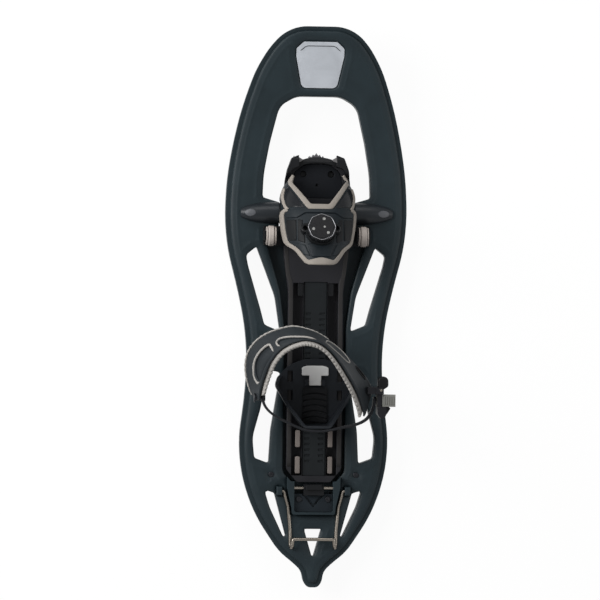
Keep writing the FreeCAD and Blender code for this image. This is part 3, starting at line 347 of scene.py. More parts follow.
def smooth_run(points, steps):
    """A Catmull-Rom curve through points."""
    p = np.array(points, float)
    p = np.vstack([2 * p[0] - p[1], p, 2 * p[-1] - p[-2]])
    out = []
    for a, b, c, d in zip(p, p[1:], p[2:], p[3:]):
        for t in np.arange(steps) / steps:
            out.append(0.5 * (2 * b + (c - a) * t + (2 * a - 5 * b + 4 * c - d) * t ** 2
                              + (3 * b - a - 3 * c + d) * t ** 3))
    return np.array(out + [p[-2]])


def cut_corners(path, widths, reach):
    """A path with its corners rounded, as rows of x, y and width."""
    rows = [np.array((x, y, w), float) for (x, y), w in zip(path, widths)]
    out = [rows[0]]
    for before, corner, after in zip(rows, rows[1:], rows[2:]):
        for other in (before, after):
            gap = np.linalg.norm(other[:2] - corner[:2])
            out.append(corner + (other - corner) * min(reach / gap, 0.45))
    return np.array(out + [rows[-1]])


# ------------ flat regions turned into surfaces
# a loop's corner is kept where it turns by more than this many degrees
SHARP_TURN = 25
# spacing of the points that stand for a border when distances to it are measured
BORDER_STEP = 0.25


def resampled(loop, step):
    """Points along a closed loop about a step apart, with its sharp corners kept."""
    loop = np.array(loop, float)
    back = loop - np.roll(loop, 1, axis=0)
    ahead = np.roll(loop, -1, axis=0) - loop
    heading_back = back[:, 0] + 1j * back[:, 1]
    heading_ahead = ahead[:, 0] + 1j * ahead[:, 1]
    turn = np.degrees(np.abs(np.angle(heading_ahead * np.conj(heading_back))))
    corners = [i for i in range(len(loop)) if turn[i] > SHARP_TURN] or [0]
    points = []
    for start, end in zip(corners, corners[1:] + corners[:1]):
        count = (end - start) % len(loop) or len(loop)
        run = np.array([loop[(start + i) % len(loop)] for i in range(count + 1)])
        along = distances(run)
        pieces = max(int(round(along[-1] / step)), 1)
        for t in np.arange(pieces) / pieces * along[-1]:
            points.append([np.interp(t, along, run[:, 0]), np.interp(t, along, run[:, 1])])
    return np.array(points)


def inside(points, loops):
    """Which points lie inside an odd number of loops."""
    result = np.zeros(len(points), bool)
    for a in loops:
        b = np.roll(a, -1, axis=0)
        rise = np.where(b[:, 1] == a[:, 1], 1e-9, b[:, 1] - a[:, 1])
        for i in range(0, len(points), 2000):
            x, y = points[i:i + 2000, 0:1], points[i:i + 2000, 1:2]
            crosses = (a[:, 1] > y) != (b[:, 1] > y)
            left = x < (b[:, 0] - a[:, 0]) * (y - a[:, 1]) / rise + a[:, 0]
            result[i:i + 2000] ^= (crosses & left).sum(1) % 2 == 1
    return result


def filled(loops, spacing, rows):
    """Points and triangles that fill closed loops, and each point's distance to the nearest loop.

    Rows of points follow the loops at the distances in rows, and an even grid fills the rest.
    """
    loops = [resampled(loop, spacing * 0.8) for loop in loops]
    fine = [resampled(loop, BORDER_STEP) for loop in loops]
    tree = KDTree(sum(len(loop) for loop in fine))
    for i, (x, y) in enumerate(np.vstack(fine)):
        tree.insert((x, y, 0), i)
    tree.balance()

    def gap(point):
        return tree.find((point[0], point[1], 0))[2]

    border = []
    edges = []
    extra = []
    for loop in loops:
        first = len(border)
        border += [tuple(p) for p in loop]
        edges += [(first + i, first + (i + 1) % len(loop)) for i in range(len(loop))]
        tangent = unit(np.roll(loop, -1, axis=0) - np.roll(loop, 1, axis=0))
        normal = np.stack([-tangent[:, 1], tangent[:, 0]], 1)
        inward = np.where(inside(loop + normal * 0.02, fine), 1.0, -1.0)
        for row in rows:
            candidates = loop + normal * (inward * row)[:, None]
            good = inside(candidates, fine)
            extra += [tuple(p) for p, g in zip(candidates, good) if g and gap(p) > row * 0.93]
    low = np.min(border, axis=0)
    high = np.max(border, axis=0)
    grid = [(x, y) for j, y in enumerate(np.arange(low[1], high[1], spacing * 0.87))
            for x in np.arange(low[0] + (j % 2) * spacing / 2, high[0], spacing)]
    good = inside(np.array(grid), fine)
    reach = rows[-1] + spacing * 0.6
    extra += [p for p, g in zip(grid, good) if g and gap(p) > reach]
    made = delaunay_2d_cdt([Vector(p) for p in border + extra], edges, [], 0, 1e-4)
    points = np.array([tuple(p) for p in made[0]])
    faces = [tuple(f) for f in made[2]]
    centres = np.array([points[list(f)].mean(0) for f in faces])
    faces = [f for f, keep in zip(faces, inside(centres, fine)) if keep]
    away = np.array([0.0 if i < len(border) else gap(p) for i, p in enumerate(points)])
    return points, faces, away


def crown(away, edge, edge_width, rise=0.0, rise_width=1.0):
    """How far a surface stands up at a distance from its border: a rounded edge, then a gentle rise."""
    near = 1 - np.minimum(away / edge_width, 1)
    far = 1 - np.minimum(away / rise_width, 1)
    return edge * np.sqrt(1 - near ** 2) + rise * (1 - far ** 2)


def ridge(away, middle, width, height):
    """A low round ridge that follows the border at a distance."""
    return height * np.exp(-((away - middle) / width) ** 2)


# ------------ pieces
def placed(name, data):
    obj = bpy.data.objects.new(name, data)
    bpy.context.scene.collection.objects.link(obj)
    return obj


def finished(obj, material, body):
    obj.data.shade_smooth()
    dress(obj, material)
    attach(obj, body)
    return obj


def mesh_piece(name, points, faces, material, body):
    """A smooth-shaded piece from points in millimetres."""
    mesh = bpy.data.meshes.new(name)
    mesh.from_pydata([tuple(c * MM for c in p) for p in points], [], faces)
    mesh.validate()
    clean = bmesh.new()
    clean.from_mesh(mesh)
    bmesh.ops.remove_doubles(clean, verts=clean.verts, dist=1e-6)
    bmesh.ops.delete(clean, geom=[v for v in clean.verts if not v.link_faces], context="VERTS")
    bmesh.ops.recalc_face_normals(clean, faces=clean.faces)
    clean.to_mesh(mesh)
    clean.free()
    return finished(placed(name, mesh), material, body)


def closed_sheet(name, points, depth, faces, material, body, out=UP):
    """A piece with a top surface, a lower one a depth under it, and walls between them."""
    count = len(points)
    border = {}
    for face in faces:
        for a, b in zip(face, face[1:] + face[:1]):
            edge = (min(a, b), max(a, b))
            border[edge] = None if edge in border else (a, b)
    walls = [(b, a, a + count, b + count) for a, b in filter(None, border.values())]
    bottom = [tuple(i + count for i in reversed(face)) for face in faces]
    both = np.vstack([points, points - np.reshape(depth, (-1, 1)) * out])
    return mesh_piece(name, both, faces + walls + bottom, material, body)


def swept_faces(rows, around, closed=False):
    """Faces between rows of points that each go once round a section, and the two end faces."""
    faces = []
    for i in range(rows if closed else rows - 1):
        here = i * around
        there = (i + 1) % rows * around
        for k in range(around):
            following = (k + 1) % around
            faces.append((here + k, here + following, there + following, there + k))
    if not closed:
        faces.append(tuple(range(around)))
        faces.append(tuple(reversed(range((rows - 1) * around, rows * around))))
    return faces


def swept(name, lines, material, body, closed=False):
    """A piece from the lines that run along it, in order round its section."""
    points = np.stack(lines, 1).reshape(-1, 3)
    return mesh_piece(name, points, swept_faces(len(lines[0]), len(lines), closed), material, body)


TUBE_SIDES = 8


def tube(name, centre, ups, radius, material, body, closed=False):
    """A round bead along points in millimetres; its ends taper unless it is closed."""
    count = len(centre)
    if closed:
        tangent = np.roll(centre, -1, axis=0) - np.roll(centre, 1, axis=0)
        taper = np.ones(count)
    else:
        tangent = np.gradient(centre, axis=0)
        taper = np.clip(np.minimum(np.arange(count), np.arange(count)[::-1]) / 3.0, 0.35, 1.0)
    tangent = unit(tangent)
    side = unit(np.cross(tangent, ups))
    ups = np.cross(side, tangent)
    reach = (radius * taper)[:, None]
    lines = [centre + (side * math.cos(t) + ups * math.sin(t)) * reach for t in turns(TUBE_SIDES)]
    return swept(name, lines, material, body, closed)


def top_of(node, x, y):
    """The height of a CAD node's upper surface at each point, and nan beside it."""
    data = nodes[node].data
    corners = [v.co / MM for v in data.vertices]
    tree = BVHTree.FromPolygons(corners, [tuple(p.vertices) for p in data.polygons])
    hits = [tree.ray_cast(Vector((a, b, 300)), Vector((0, 0, -1)))[0] for a, b in zip(x, y)]
    return np.array([np.nan if hit is None else hit.z for hit in hits])


def plane_over(corners, heights, points):
    """The heights at points of the plane that fits the heights at corners best."""
    plane = np.linalg.lstsq(np.column_stack([corners, np.ones(len(corners))]), heights, rcond=None)[0]
    return np.column_stack([points, np.ones(len(points))]) @ plane


def softened(node, name, voxel, passes, body):
    """A soft part's own shape with its edges rounded over, as rubber comes out of a mould."""
    obj = placed(name, nodes[node].data.copy())
    remesh = obj.modifiers.new("remesh", "REMESH")
    remesh.mode = "VOXEL"
    remesh.voxel_size = voxel * MM
    relax = obj.modifiers.new("relax", "SMOOTH")
    relax.factor = 0.5
    relax.iterations = passes
    bpy.context.view_layer.update()
    mesh = bpy.data.meshes.new_from_object(obj.evaluated_get(bpy.context.evaluated_depsgraph_get()))
    obj.modifiers.clear()
    obj.data = mesh
    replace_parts(finished(obj, look(node), body), node)


# ------------ deck
DECK_TOP = 30.0
NOSE_START, NOSE_RADIUS = 130.0, 525.0
TAIL_START, TAIL_RADIUS = -200.0, 1300.0
# how near to the top's height a face has to lie, and the smallest plan box of a region that gets a skin
LEVEL_TOLERANCE = 0.25
SMALLEST_REGION = 60
# the least upward part of a top face's normal
LEAST_UPWARD = 0.85
DECK_ROWS = (0.7, 1.6, 3.0, 5.2, 7.2, 8.2, 9.2)
# the skin is level round each deck screw, from this radius, and eases up over a distance
SCREW_INSET, SCREW_FLAT, SCREW_EASE = 3.4, 4.2, 4.0


def lift(y):
    """How far the deck's top has risen towards the nose and the tail."""
    nose = NOSE_RADIUS - np.sqrt(NOSE_RADIUS ** 2 - np.maximum(y - NOSE_START, 0) ** 2)
    tail = TAIL_RADIUS - np.sqrt(TAIL_RADIUS ** 2 - np.maximum(TAIL_START - y, 0) ** 2)
    return nose + tail


def on_top(face):
    """Whether a face of the CAD deck belongs to its top."""
    heights = [v.co.z / MM - DECK_TOP - lift(v.co.y / MM) for v in face.verts]
    return face.normal.z > LEAST_UPWARD and all(abs(height) < LEVEL_TOLERANCE for height in heights)


def top_loops():
    """The borders of the CAD deck's top faces, in millimetres."""
    found = bmesh.new()
    found.from_mesh(nodes["deck"].data)
    bmesh.ops.remove_doubles(found, verts=found.verts, dist=2e-6)
    for face in found.faces:
        face.normal_update()
    chosen = [face for face in found.faces if on_top(face)]
    known = set(chosen)
    after = {}
    for face in chosen:
        for corner in face.loops:
            if sum(f in known for f in corner.edge.link_faces) == 1:
                after.setdefault(corner.vert, []).append(corner.link_loop_next.vert)
    loops = []
    while after:
        start = next(iter(after))
        loop = [start]
        while True:
            ahead = after[loop[-1]]
            following = ahead.pop()
            if not ahead:
                del after[loop[-1]]
            if following is start or following not in after:
                break
            loop.append(following)
        loops.append([(v.co.x / MM, v.co.y / MM) for v in loop])
    found.free()
    return [loop for loop in loops if len(loop) > 3]


def box_area(loop):
    points = np.array(loop)
    return np.prod(points.max(0) - points.min(0))


def deck_skin():
    """The crowned top of the moulded deck, laid over the CAD deck's flat faces."""
    loops = [loop for loop in top_loops() if box_area(loop) > SMALLEST_REGION]
    points, faces, away = filled(loops, 4.2, DECK_ROWS)
    rise = (crown(away, edge=1.5, edge_width=6.5, rise=1.1, rise_width=20.0)
            + ridge(away, middle=8.2, width=0.8, height=0.4))
    low, high = (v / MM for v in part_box("deck_screws"))
    for side in (-1, 1):
        gap = np.hypot(points[:, 0] - side * (high.x - SCREW_INSET), points[:, 1] - (low.y + high.y) / 2)
        reach = np.clip((gap - SCREW_FLAT) / SCREW_EASE, 0, 1)
        rise = rise * reach ** 2 * (3 - 2 * reach)
    top = np.column_stack([points, DECK_TOP + 0.04 + lift(points[:, 1]) + rise])
    closed_sheet("deck_top_skin", top, rise + 1.0, faces, look("deck"), "deck")


# ------------ badge and pivot covers
# shares of the badge's size: the line's half width and its flat part's, its flat part's and its ends' depth
LINE_HALF, LINE_FLAT, LINE_TOP, LINE_END = 0.84, 0.72, 0.09, 0.20


def badge_line():
    """A thin dark line moulded along the badge's upper edge."""
    low, high = (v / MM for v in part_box("nose_badge"))
    middle = (low.x + high.x) / 2
    half = (high.x - low.x) / 2 * LINE_HALF
    top = high.y - (high.y - low.y) * LINE_TOP
    end = high.y - (high.y - low.y) * LINE_END
    path = [(-half, end), (-half * LINE_FLAT, top), (half * LINE_FLAT, top), (half, end)]
    rows = cut_corners(path, [1] * 4, 2.0)
    along = np.linspace(0, len(rows) - 1, 60)
    x, y = (np.interp(along, range(len(rows)), c) for c in rows.T[:2])
    centre = np.stack([x + middle, y, top_of("nose_badge", x + middle, y)], 1)
    tube("badge_line", centre, UP, 0.45, look("tail_latch"), "deck")


# the painted highlight oval's middle, in from the cover's end, and its half length and half width
HIGHLIGHT_IN, HIGHLIGHT_LONG, HIGHLIGHT_WIDE = 11.5, 6.8, 4.4


def cover_highlights():
    """A pale oval patch laid on each pivot cover's outer end: painted highlight where the rounded end
    catches the light.
    """
    for side, label in SIDES:
        low, high = (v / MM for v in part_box("pivot_cover_" + label))
        outer = low.x if side < 0 else high.x
        middle = (low.y + high.y) / 2
        outline = [(outer - side * (HIGHLIGHT_IN + HIGHLIGHT_LONG * math.cos(a)), middle + HIGHLIGHT_WIDE * math.sin(a))
                   for a in turns(40)]
        points, faces, away = filled([outline], 1.4, (0.3, 0.8))
        height = top_of("pivot_cover_" + label, points[:, 0], points[:, 1])
        level = plane_over(points, height, points)
        rise = crown(away, edge=0.3, edge_width=0.8, rise=0.1, rise_width=4.0)
        top = np.column_stack([points, np.maximum(level + 0.25, height + 0.05) + rise])
        closed_sheet("cover_facet_" + label, top, rise + 0.6, faces, look("cover_facet"), "deck")


PIVOT = (117.0, 34.0)
WASHER_INNER_X, WASHER_THICK = 45.8, 1.25
WASHER_RADIUS, WASHER_HOLE = 12.6, 5.0


def pivot_washer(side, label):
    """The washer at the inner end of a pivot cover."""
    points, faces = filled([ring_of(WASHER_RADIUS, 60), ring_of(WASHER_HOLE, 40)], 2.0, (0.3, 0.7))[:2]
    outer = np.full(len(points), side * (WASHER_INNER_X + WASHER_THICK))
    top = np.column_stack([outer, points + np.array(PIVOT)])
    closed_sheet("pivot_washer_" + label, top, WASHER_THICK, faces, look("toe_bumper"), "deck",
                 np.array([side, 0.0, 0.0]))


# ------------ ankle strap
# lower and upper edge of the strap's outer face, from its left rivet round to its right end
ANKLE = [((-74, -115, 71), (-73, -113.5, 93)), ((-82.5, -101, 71), (-71, -99, 98)),
         ((-88, -78, 74), (-66, -81, 107)), ((-86.5, -58, 79), (-60.5, -65.5, 116)),
         ((-78, -43, 84), (-51.5, -52.5, 124)), ((-66, -33, 88), (-41.5, -44.5, 130)),
         ((-50, -26, 92), (-31, -39.5, 134)), ((-31, -22, 96.5), (-18, -37, 137)),
         ((-10, -26.5, 99), (-2, -40.5, 137)), ((4, -33, 98.5), (11, -49.5, 134)),
         ((21, -44, 96), (24, -65, 128)), ((39, -60, 92), (36.5, -84, 120)),
         ((54.5, -76.5, 86), (46, -100.5, 112)), ((63.5, -88, 81), (52.5, -115.5, 105)),
         ((67.5, -97.5, 78), (56, -126, 100)), ((66, -106, 76), (57, -133, 96))]
STRAP_HEIGHT = 40.0
STRAP_THICK = 3.2
# how far the shell's border lies under the strap's outer face
SHELL_SINK = 0.9
# each copy of a section that rounds off a strip's end: its size and how far out it stands
END_ROWS = ((0.93, 0.35), (0.75, 0.6), (0.3, 0.8))


class Band:
    """A strap surface: u is the distance along it, and v is 0 at its lower edge and 1 at its upper edge."""

    def __init__(self, stations):
        self.low = smooth_run([low for low, high in stations], 12)
        self.high = smooth_run([high for low, high in stations], 12)
        middle = (self.low + self.high) / 2
        self.u = distances(middle)
        self.normal = unit(np.cross(self.high - self.low, np.gradient(middle, axis=0)))
        self.length = self.u[-1]

    def read(self, values, u):
        """Values along the strap, at distances u."""
        return np.stack([np.interp(u, self.u, column) for column in values.T], -1)

    def at(self, u, v, out=0.0):
        """Points on the surface, moved outward."""
        across = self.read(self.high - self.low, u) * np.asarray(v)[..., None]
        return self.read(self.low, u) + across + self.normals(u) * out

    def normals(self, u):
        return self.read(self.normal, u)

    def widths(self, u):
        return np.linalg.norm(self.read(self.high - self.low, u), axis=1)


def rounded_end(section, outward):
    """Shrinking copies of a section, each further out along its strip."""
    centre = section.mean(0)
    tangent = unit(outward.mean(0))
    return [centre + (section - centre) * size + tangent * reach for size, reach in END_ROWS]


def strip(name, band, start, end, profile, step, material, body, shape=None):
    """A closed band along a strap, with rounded ends.

    The profile gives v, how far past it the point lies across the strap, and how far outward it lies.
    The shape gives a factor on the second of these at each distance along the strap.
    """
    count = max(int((end - start) / step), 8)
    u = np.linspace(start, end, count + 1)
    factor = shape(u) if shape else 1.0
    widths = band.widths(u)
    points = np.stack([band.at(u, v + past * factor / widths, out) for v, past, out in profile], 1)
    first = rounded_end(points[0], points[0] - points[1])
    last = rounded_end(points[-1], points[-1] - points[-2])
    rows = first[::-1] + list(points) + last
    return mesh_piece(name, np.vstack(rows), swept_faces(len(rows), len(profile)), material, body)


def rim(name, band, path, radius, material, body, out):
    """A round bead that follows a path of (u, v) on a strap surface."""
    u, v = smooth_run([(u, v, 0) for u, v in path], 6).T[:2]
    tube(name, band.at(u, v, out), band.normals(u), radius, material, body)


# (u, v) corners of the strap's openings and of the beads along them
FRONT_WINDOW = [(84, 0.88), (83.5, 0.78), (88, 0.63), (94, 0.60), (104, 0.70), (114, 0.84), (124, 0.88),
                (134, 0.88), (128, 0.93), (112, 0.94), (98, 0.94), (90, 0.93)]
SIDE_WINDOW = [(77, 0.52), (66, 0.45), (52, 0.43), (42, 0.46), (32, 0.56), (25.5, 0.74), (29, 0.83),
               (40, 0.85), (51, 0.88), (62, 0.90), (70, 0.86), (75, 0.67)]
FRONT_BEAD = [(82, 0.88), (82.5, 0.75), (86.5, 0.60), (94, 0.55), (104, 0.65), (114, 0.80), (124, 0.85),
              (136, 0.87)]
SIDE_BEAD = [(71, 0.85), (75.5, 0.67), (78, 0.50), (67.5, 0.42), (52.9, 0.38), (42.3, 0.39), (31, 0.47),
             (23.5, 0.68), (25, 0.80)]
GRIP_BEAD = [(153, 0.60), (160, 0.25), (174, 0.12), (190, 0.14), (198, 0.26), (192, 0.42), (176, 0.52),
             (162, 0.62), (153, 0.62)]
SLOT = [(209, 0.13), (214, 0.09), (227, 0.10), (228, 0.18), (214, 0.21)]
SLOT_SHADE_RING = SLOT + SLOT[:2]
# name, path and radius of each pale bead
BEADS = (("ankle_side_bead", SIDE_BEAD, 1.6), ("ankle_front_bead", FRONT_BEAD, 1.25),
         ("ankle_grip_bead", GRIP_BEAD, 0.9))


def ankle_shell(band):
    """The stiff outer shell, with its two long openings and its slot."""
    length = band.length
    loops = [[(0.5, 2), (2, 0.5), (length - 2, 0.5), (length - 0.5, 2), (length - 0.5, STRAP_HEIGHT - 2),
              (length - 2, STRAP_HEIGHT - 0.5), (2, STRAP_HEIGHT - 0.5), (0.5, STRAP_HEIGHT - 2)]]
    for window in (SIDE_WINDOW, FRONT_WINDOW, SLOT):
        closed = smooth_run([(u, v * STRAP_HEIGHT, 0) for u, v in window + window[:1]], 5)[:-1, :2]
        loops.append([tuple(p) for p in closed])
    points, faces, away = filled(loops, 3.2, (0.5, 1.2, 2.4, 4.0))
    u, v = points[:, 0], points[:, 1] / STRAP_HEIGHT
    rise = (crown(away, edge=0.7, edge_width=1.8, rise=0.5, rise_width=9.0) - SHELL_SINK
            + ridge(away, middle=2.6, width=1.0, height=0.5))
    out = band.normals(u)
    surface = band.at(u, v) + out * rise[:, None]
    piece = closed_sheet("ankle_shell", surface, STRAP_THICK - SHELL_SINK + rise, faces, look("ankle_strap"),
                         "ankle", out)
    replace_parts(piece, "ankle_strap")


def window_floor(band):
    """The dark floor of the shell's two long recesses."""
    profile = [(0.34, 0, -1.9), (0.65, 0, -1.9), (0.96, 0, -1.9), (0.96, 0, -2.7), (0.34, 0, -2.7)]
    strip("ankle_window_floor", band, 18, 140, profile, 3.0, look("ankle_strap"), "ankle")


LINER_RIB = 5.8


def rib_swell(u):
    """0 in the grooves between the liner's soft ribs, and 1 at their middles."""
    return np.abs(np.sin(math.pi * u / LINER_RIB)) ** 0.5


def liner_ribs(u):
    return 0.6 + 0.4 * rib_swell(u)


def ankle_liner(band):
    """Foam liner inside the shell; its edges stand past the shell's and are ribbed."""
    face = -(STRAP_THICK + 0.5)
    back = face - 4.2
    profile = [(0, -2.4, face - 0.4), (0, -1.0, face), (0.3, 0, face), (0.7, 0, face), (1, 1.2, face),
               (1, 4.2, face - 0.3), (1, 5.4, face - 1.4), (1, 5.5, back + 1.3), (1, 4.0, back + 0.1),
               (1, 0.2, back), (0.8, 0, back + 0.3), (0.5, 0, back + 0.5), (0.2, 0, back + 0.3),
               (0, -0.2, back), (0, -2.0, back + 0.2), (0, -3.0, back + 1.2), (0, -3.0, face - 1.4)]
    piece = strip("ankle_liner_foam", band, 6, band.length - 5, profile, 0.72, look("ankle_liner"), "ankle",
                  liner_ribs)
    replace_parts(piece, "ankle_liner")


def ankle_hem(band):
    """The liner's lower edge, rolled out under the shell's lower edge and ribbed like the upper one."""
    u = np.arange(8, 166, 0.7)
    centre = band.at(u, -0.03, 0.3 - STRAP_THICK / 3)
    tube("ankle_liner_hem", centre, band.normals(u), 0.7 + 0.8 * rib_swell(u), look("ankle_liner"), "ankle")


# ------------ heel band
HEEL_BAND = [(-66.4, -104.5), (-65.8, -111.5), (-63.8, -118), (-59, -124.5), (-50.6, -131), (-35, -139),
             (-20, -145.6), (-10, -148.2), (2, -148.8), (12, -147.8), (27, -144.8), (46, -140.6),
             (58.5, -134.5), (65, -125.5), (67.9, -116), (68.4, -106)]
BAND_LOW, BAND_HIGH, BAND_THICK = 74.0, 91.0, 2.8
HEEL_MIDDLE = np.array([0, -110, 82])


def rounded_profile(thick, inset, proud):
    """A strap's section: flat faces with round edges, slightly full in the middle."""
    half = thick / 2
    soft = 0.25 + inset
    flat = 0.9 + inset
    return [(0, flat, 0), (0.25, 0, proud * 0.7), (0.5, 0, proud), (0.75, 0, proud * 0.7), (1, -flat, 0),
            (1, -soft, -half * 0.45), (1, -inset, -half), (1, -soft, -half * 1.55), (1, -flat, -thick),
            (0.5, 0, -thick), (0, flat, -thick), (0, soft, -half * 1.55), (0, inset, -half),
            (0, soft, -half * 0.45)]


def heel_band():
    """The outer strap round the back of the heel cup, outside the line of its plan."""
    band = Band([((x, y, BAND_LOW), (x, y, BAND_HIGH)) for x, y in HEEL_BAND])
    half_way = np.array([band.length / 2])
    away = band.at(half_way, 0.5)[0] - HEEL_MIDDLE
    outward = 1.0 if np.dot(band.normals(half_way)[0], away) > 0 else -1.0
    profile = [(v, past, outward * (BAND_THICK - 0.2 + out))
               for v, past, out in rounded_profile(BAND_THICK, 0.3, 0.15)]
    piece = strip("heel_band_strap", band, 0, band.length - 2.5, profile, 1.6, look("heel_band"),
                  "heel_unit")
    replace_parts(piece, "heel_band")


# ------------ harness
# y, half width and crown height of the harness shell's sections, from the front to the back
HARNESS = [(168, 31.5, 57), (157, 37, 65), (147, 43, 73), (134, 46.6, 83), (117, 47.6, 93), (97, 46, 102),
           (78, 42.5, 109), (62, 38, 114), (46, 33, 118)]
HARNESS_FOOT = 34.0
HARNESS_POWER = 2.5


def harness_top(x, y):
    run = smooth_run(HARNESS, 8)[::-1]
    half = np.interp(y, run[:, 0], run[:, 1])
    high = np.interp(y, run[:, 0], run[:, 2])
    inner = 1 - np.minimum(np.abs(x / half), 0.998) ** HARNESS_POWER
    return HARNESS_FOOT + (high - HARNESS_FOOT) * inner ** (1 / HARNESS_POWER)


def on_harness(x, y, height):
    """Points at a height above the harness shell, and the surface's normals there."""
    step = 0.2
    slope_x = (harness_top(x + step, y) - harness_top(x - step, y)) / (2 * step)
    slope_y = (harness_top(x, y + step) - harness_top(x, y - step)) / (2 * step)
    normal = unit(np.stack([-slope_x, -slope_y, np.ones_like(slope_x)], -1))
    return np.stack([x, y, harness_top(x, y)], -1) + normal * np.asarray(height)[..., None], normal


def ribbon(name, path, widths, height, reach=2.2):
    """A flat moulded trim that follows a path over the harness."""
    rows = cut_corners(path, widths, reach)
    along = distances(rows[:, :2])
    fine = np.linspace(0, along[-1], max(int(along[-1] / 1.1), 6))
    x, y, width = (np.interp(fine, along, c) for c in rows.T)
    across = sideways(np.stack([x, y], 1)) * width[:, None]
    section = [(-0.5, -0.9), (-0.5, 0.55 * height), (-0.42, 0.86 * height), (-0.2, height), (0.2, height),
               (0.42, 0.86 * height), (0.5, 0.55 * height), (0.5, -0.9)]
    lines = [on_harness(x + across[:, 0] * share, y + across[:, 1] * share, rise)[0]
             for share, rise in section]
    return swept(name, lines, look("harness_front_trim"), "binding")


def panel(name, outline, height, material):
    """A thin raised plate with rounded edges on the harness."""
    points, faces, away = filled([outline], 2.2, (0.3, 0.7, 1.4))
    rise = crown(away, edge=height, edge_width=0.7, rise=0.15, rise_width=6.0)
    top, normal = on_harness(points[:, 0], points[:, 1], rise)
    closed_sheet(name, top, rise + 0.8, faces, material, "binding", normal)


FRONT_TRIM = [(-30.5, 163), (-35.3, 153.5), (-12.8, 123.4), (12.8, 123.4), (35.3, 153.5)]
FRONT_HOOK = [(34.6, 153.0), (36.6, 156.0), (31.0, 163.6)]
REAR_SIDE = [(38.6, 120), (42.6, 119), (45.0, 115.4), (44.0, 103.4), (42.4, 91.4), (39.6, 79.2),
             (28.4, 71.2), (22.2, 62.6), (16.2, 55.4)]
REAR_TRIM = [(-x, y) for x, y in REAR_SIDE] + [(0, 57.4)] + REAR_SIDE[::-1]
REAR_WIDTHS = [4.0] * 6 + [4.2, 4.6, 5.2, 9.4, 5.2, 4.6, 4.2] + [4.0] * 6
SHOULDER_TRIM = [(38.4, 120.4), (42.0, 124.6), (44.2, 137.0), (41.6, 146.5)]
WING = [(37.8, 148.8), (40.2, 145.0), (41.8, 137.5), (39.8, 126.5), (36.5, 123.4), (18.4, 122.6)]
YOKE_SIDE = [(36, 121), (41, 115.5), (41.2, 110), (28, 110), (18, 115.8)]
YOKE = [(-36, 121)] + YOKE_SIDE + [(-x, y) for x, y in YOKE_SIDE[:0:-1]]
CHEEK = [(29, 107.8), (40.4, 107.8), (39.4, 92), (36.5, 82.2), (29, 82.2)]
INNER_CHEEK = [(21.5, 107.5), (27.4, 108.4), (27.4, 82), (19, 79.2), (19, 88), (22.5, 92)]
SKIRT = [(19, 77.2), (35.6, 80), (26.2, 73.2), (19.8, 64.4), (13, 63.6)]
TONGUE = [(-16.4, 78.4), (16.4, 78.4), (11, 62.4), (-11, 62.4)]
TRIM_HEIGHT = 1.5


def harness_details():
    """Trims, glossy wings and the raised panels of the harness shell."""
    front = ribbon("front_trim_v", FRONT_TRIM, [2.0, 5.0, 7.0, 7.0, 5.0], TRIM_HEIGHT)
    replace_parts(front, "harness_front_trim")
    rear = ribbon("rear_trim_frame", REAR_TRIM, REAR_WIDTHS, TRIM_HEIGHT)
    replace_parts(rear, "harness_rear_trim")
    ribbon("front_trim_hook", FRONT_HOOK, [2.4, 2.2, 2.0], TRIM_HEIGHT, 1.0)
    shell = look("harness_shell")
    # the cheek panels take the dark dial-base colour as painted shade for the shell's hollows there
    hollow_shade = look("dial_base")
    for side, label in SIDES:
        shoulder = [(side * x, y) for x, y in SHOULDER_TRIM]
        ribbon("shoulder_trim_" + label, shoulder, [3.6, 3.0, 2.8, 2.2], TRIM_HEIGHT)
        panel("harness_wing_" + label, mirrored(WING, side), 0.7, look("harness_wing"))
        panel("harness_cheek_" + label, mirrored(CHEEK, side), 1.1, hollow_shade)
        panel("harness_inner_cheek_" + label, mirrored(INNER_CHEEK, side), 0.7, hollow_shade)
        panel("harness_skirt_" + label, mirrored(SKIRT, side), 0.9, shell)
    panel("harness_yoke", YOKE, 1.6, shell)
    panel("harness_tongue", TONGUE, 1.2, shell)


PORT_X, PORT_Y = 19.6, 97.0
PORT_RADIUS = 3.9


def lace_ports():
    """Rolled lips round the two holes in the dial base's ears."""
    turn = turns(48)
    for side, label in SIDES:
        x = side * PORT_X + PORT_RADIUS * np.cos(turn)
        y = PORT_Y + PORT_RADIUS * np.sin(turn)
        height = top_of("dial_base", x, y)
        height = np.where(np.isnan(height), harness_top(x, y), height)
        level = np.polyfit(y, height, 1)
        centre = np.stack([x, y, np.polyval(level, y) + 0.2], 1)
        tube("lace_port_" + label, centre, UP, 0.8, look("dial_window"), "binding",
             closed=True)


# ------------ dial
DIAL_SEAT = np.array([0, 93.5, 104.489])
DIAL_LEAN = math.radians(19)


def dial_ring():
    """The thin bright waved ring round the dial's top."""
    up = np.array([0, math.sin(DIAL_LEAN), math.cos(DIAL_LEAN)])
    ahead = np.array([0, math.cos(DIAL_LEAN), -math.sin(DIAL_LEAN)])
    points = np.array([tuple(v.co / MM) for v in nodes["dial_knob"].data.vertices]) - DIAL_SEAT
    high = points @ up
    top = high.max()
    flat = points[high > top - 0.6]
    reach = np.linalg.norm(flat - np.outer(flat @ up, up), axis=1).max()
    turn = turns(128)
    radius = reach - 0.7 + 0.35 * np.cos(8 * turn)
    centre = (DIAL_SEAT + up * (top + 0.15) + np.outer(radius * np.cos(turn), (1, 0, 0))
              + np.outer(radius * np.sin(turn), ahead))
    tube("dial_ring", centre, up, 0.36, look("dial_ring"), "dial", closed=True)


# ------------ binding plate and toe
PLATE_RIM = [(37.6, 86), (36.8, 66), (34.6, 42), (31.0, 22), (31.0, -60), (31.0, -196)]
PLATE_TOP = 34.0
RIM_WIDTH, RIM_HEIGHT = 4.8, 0.27


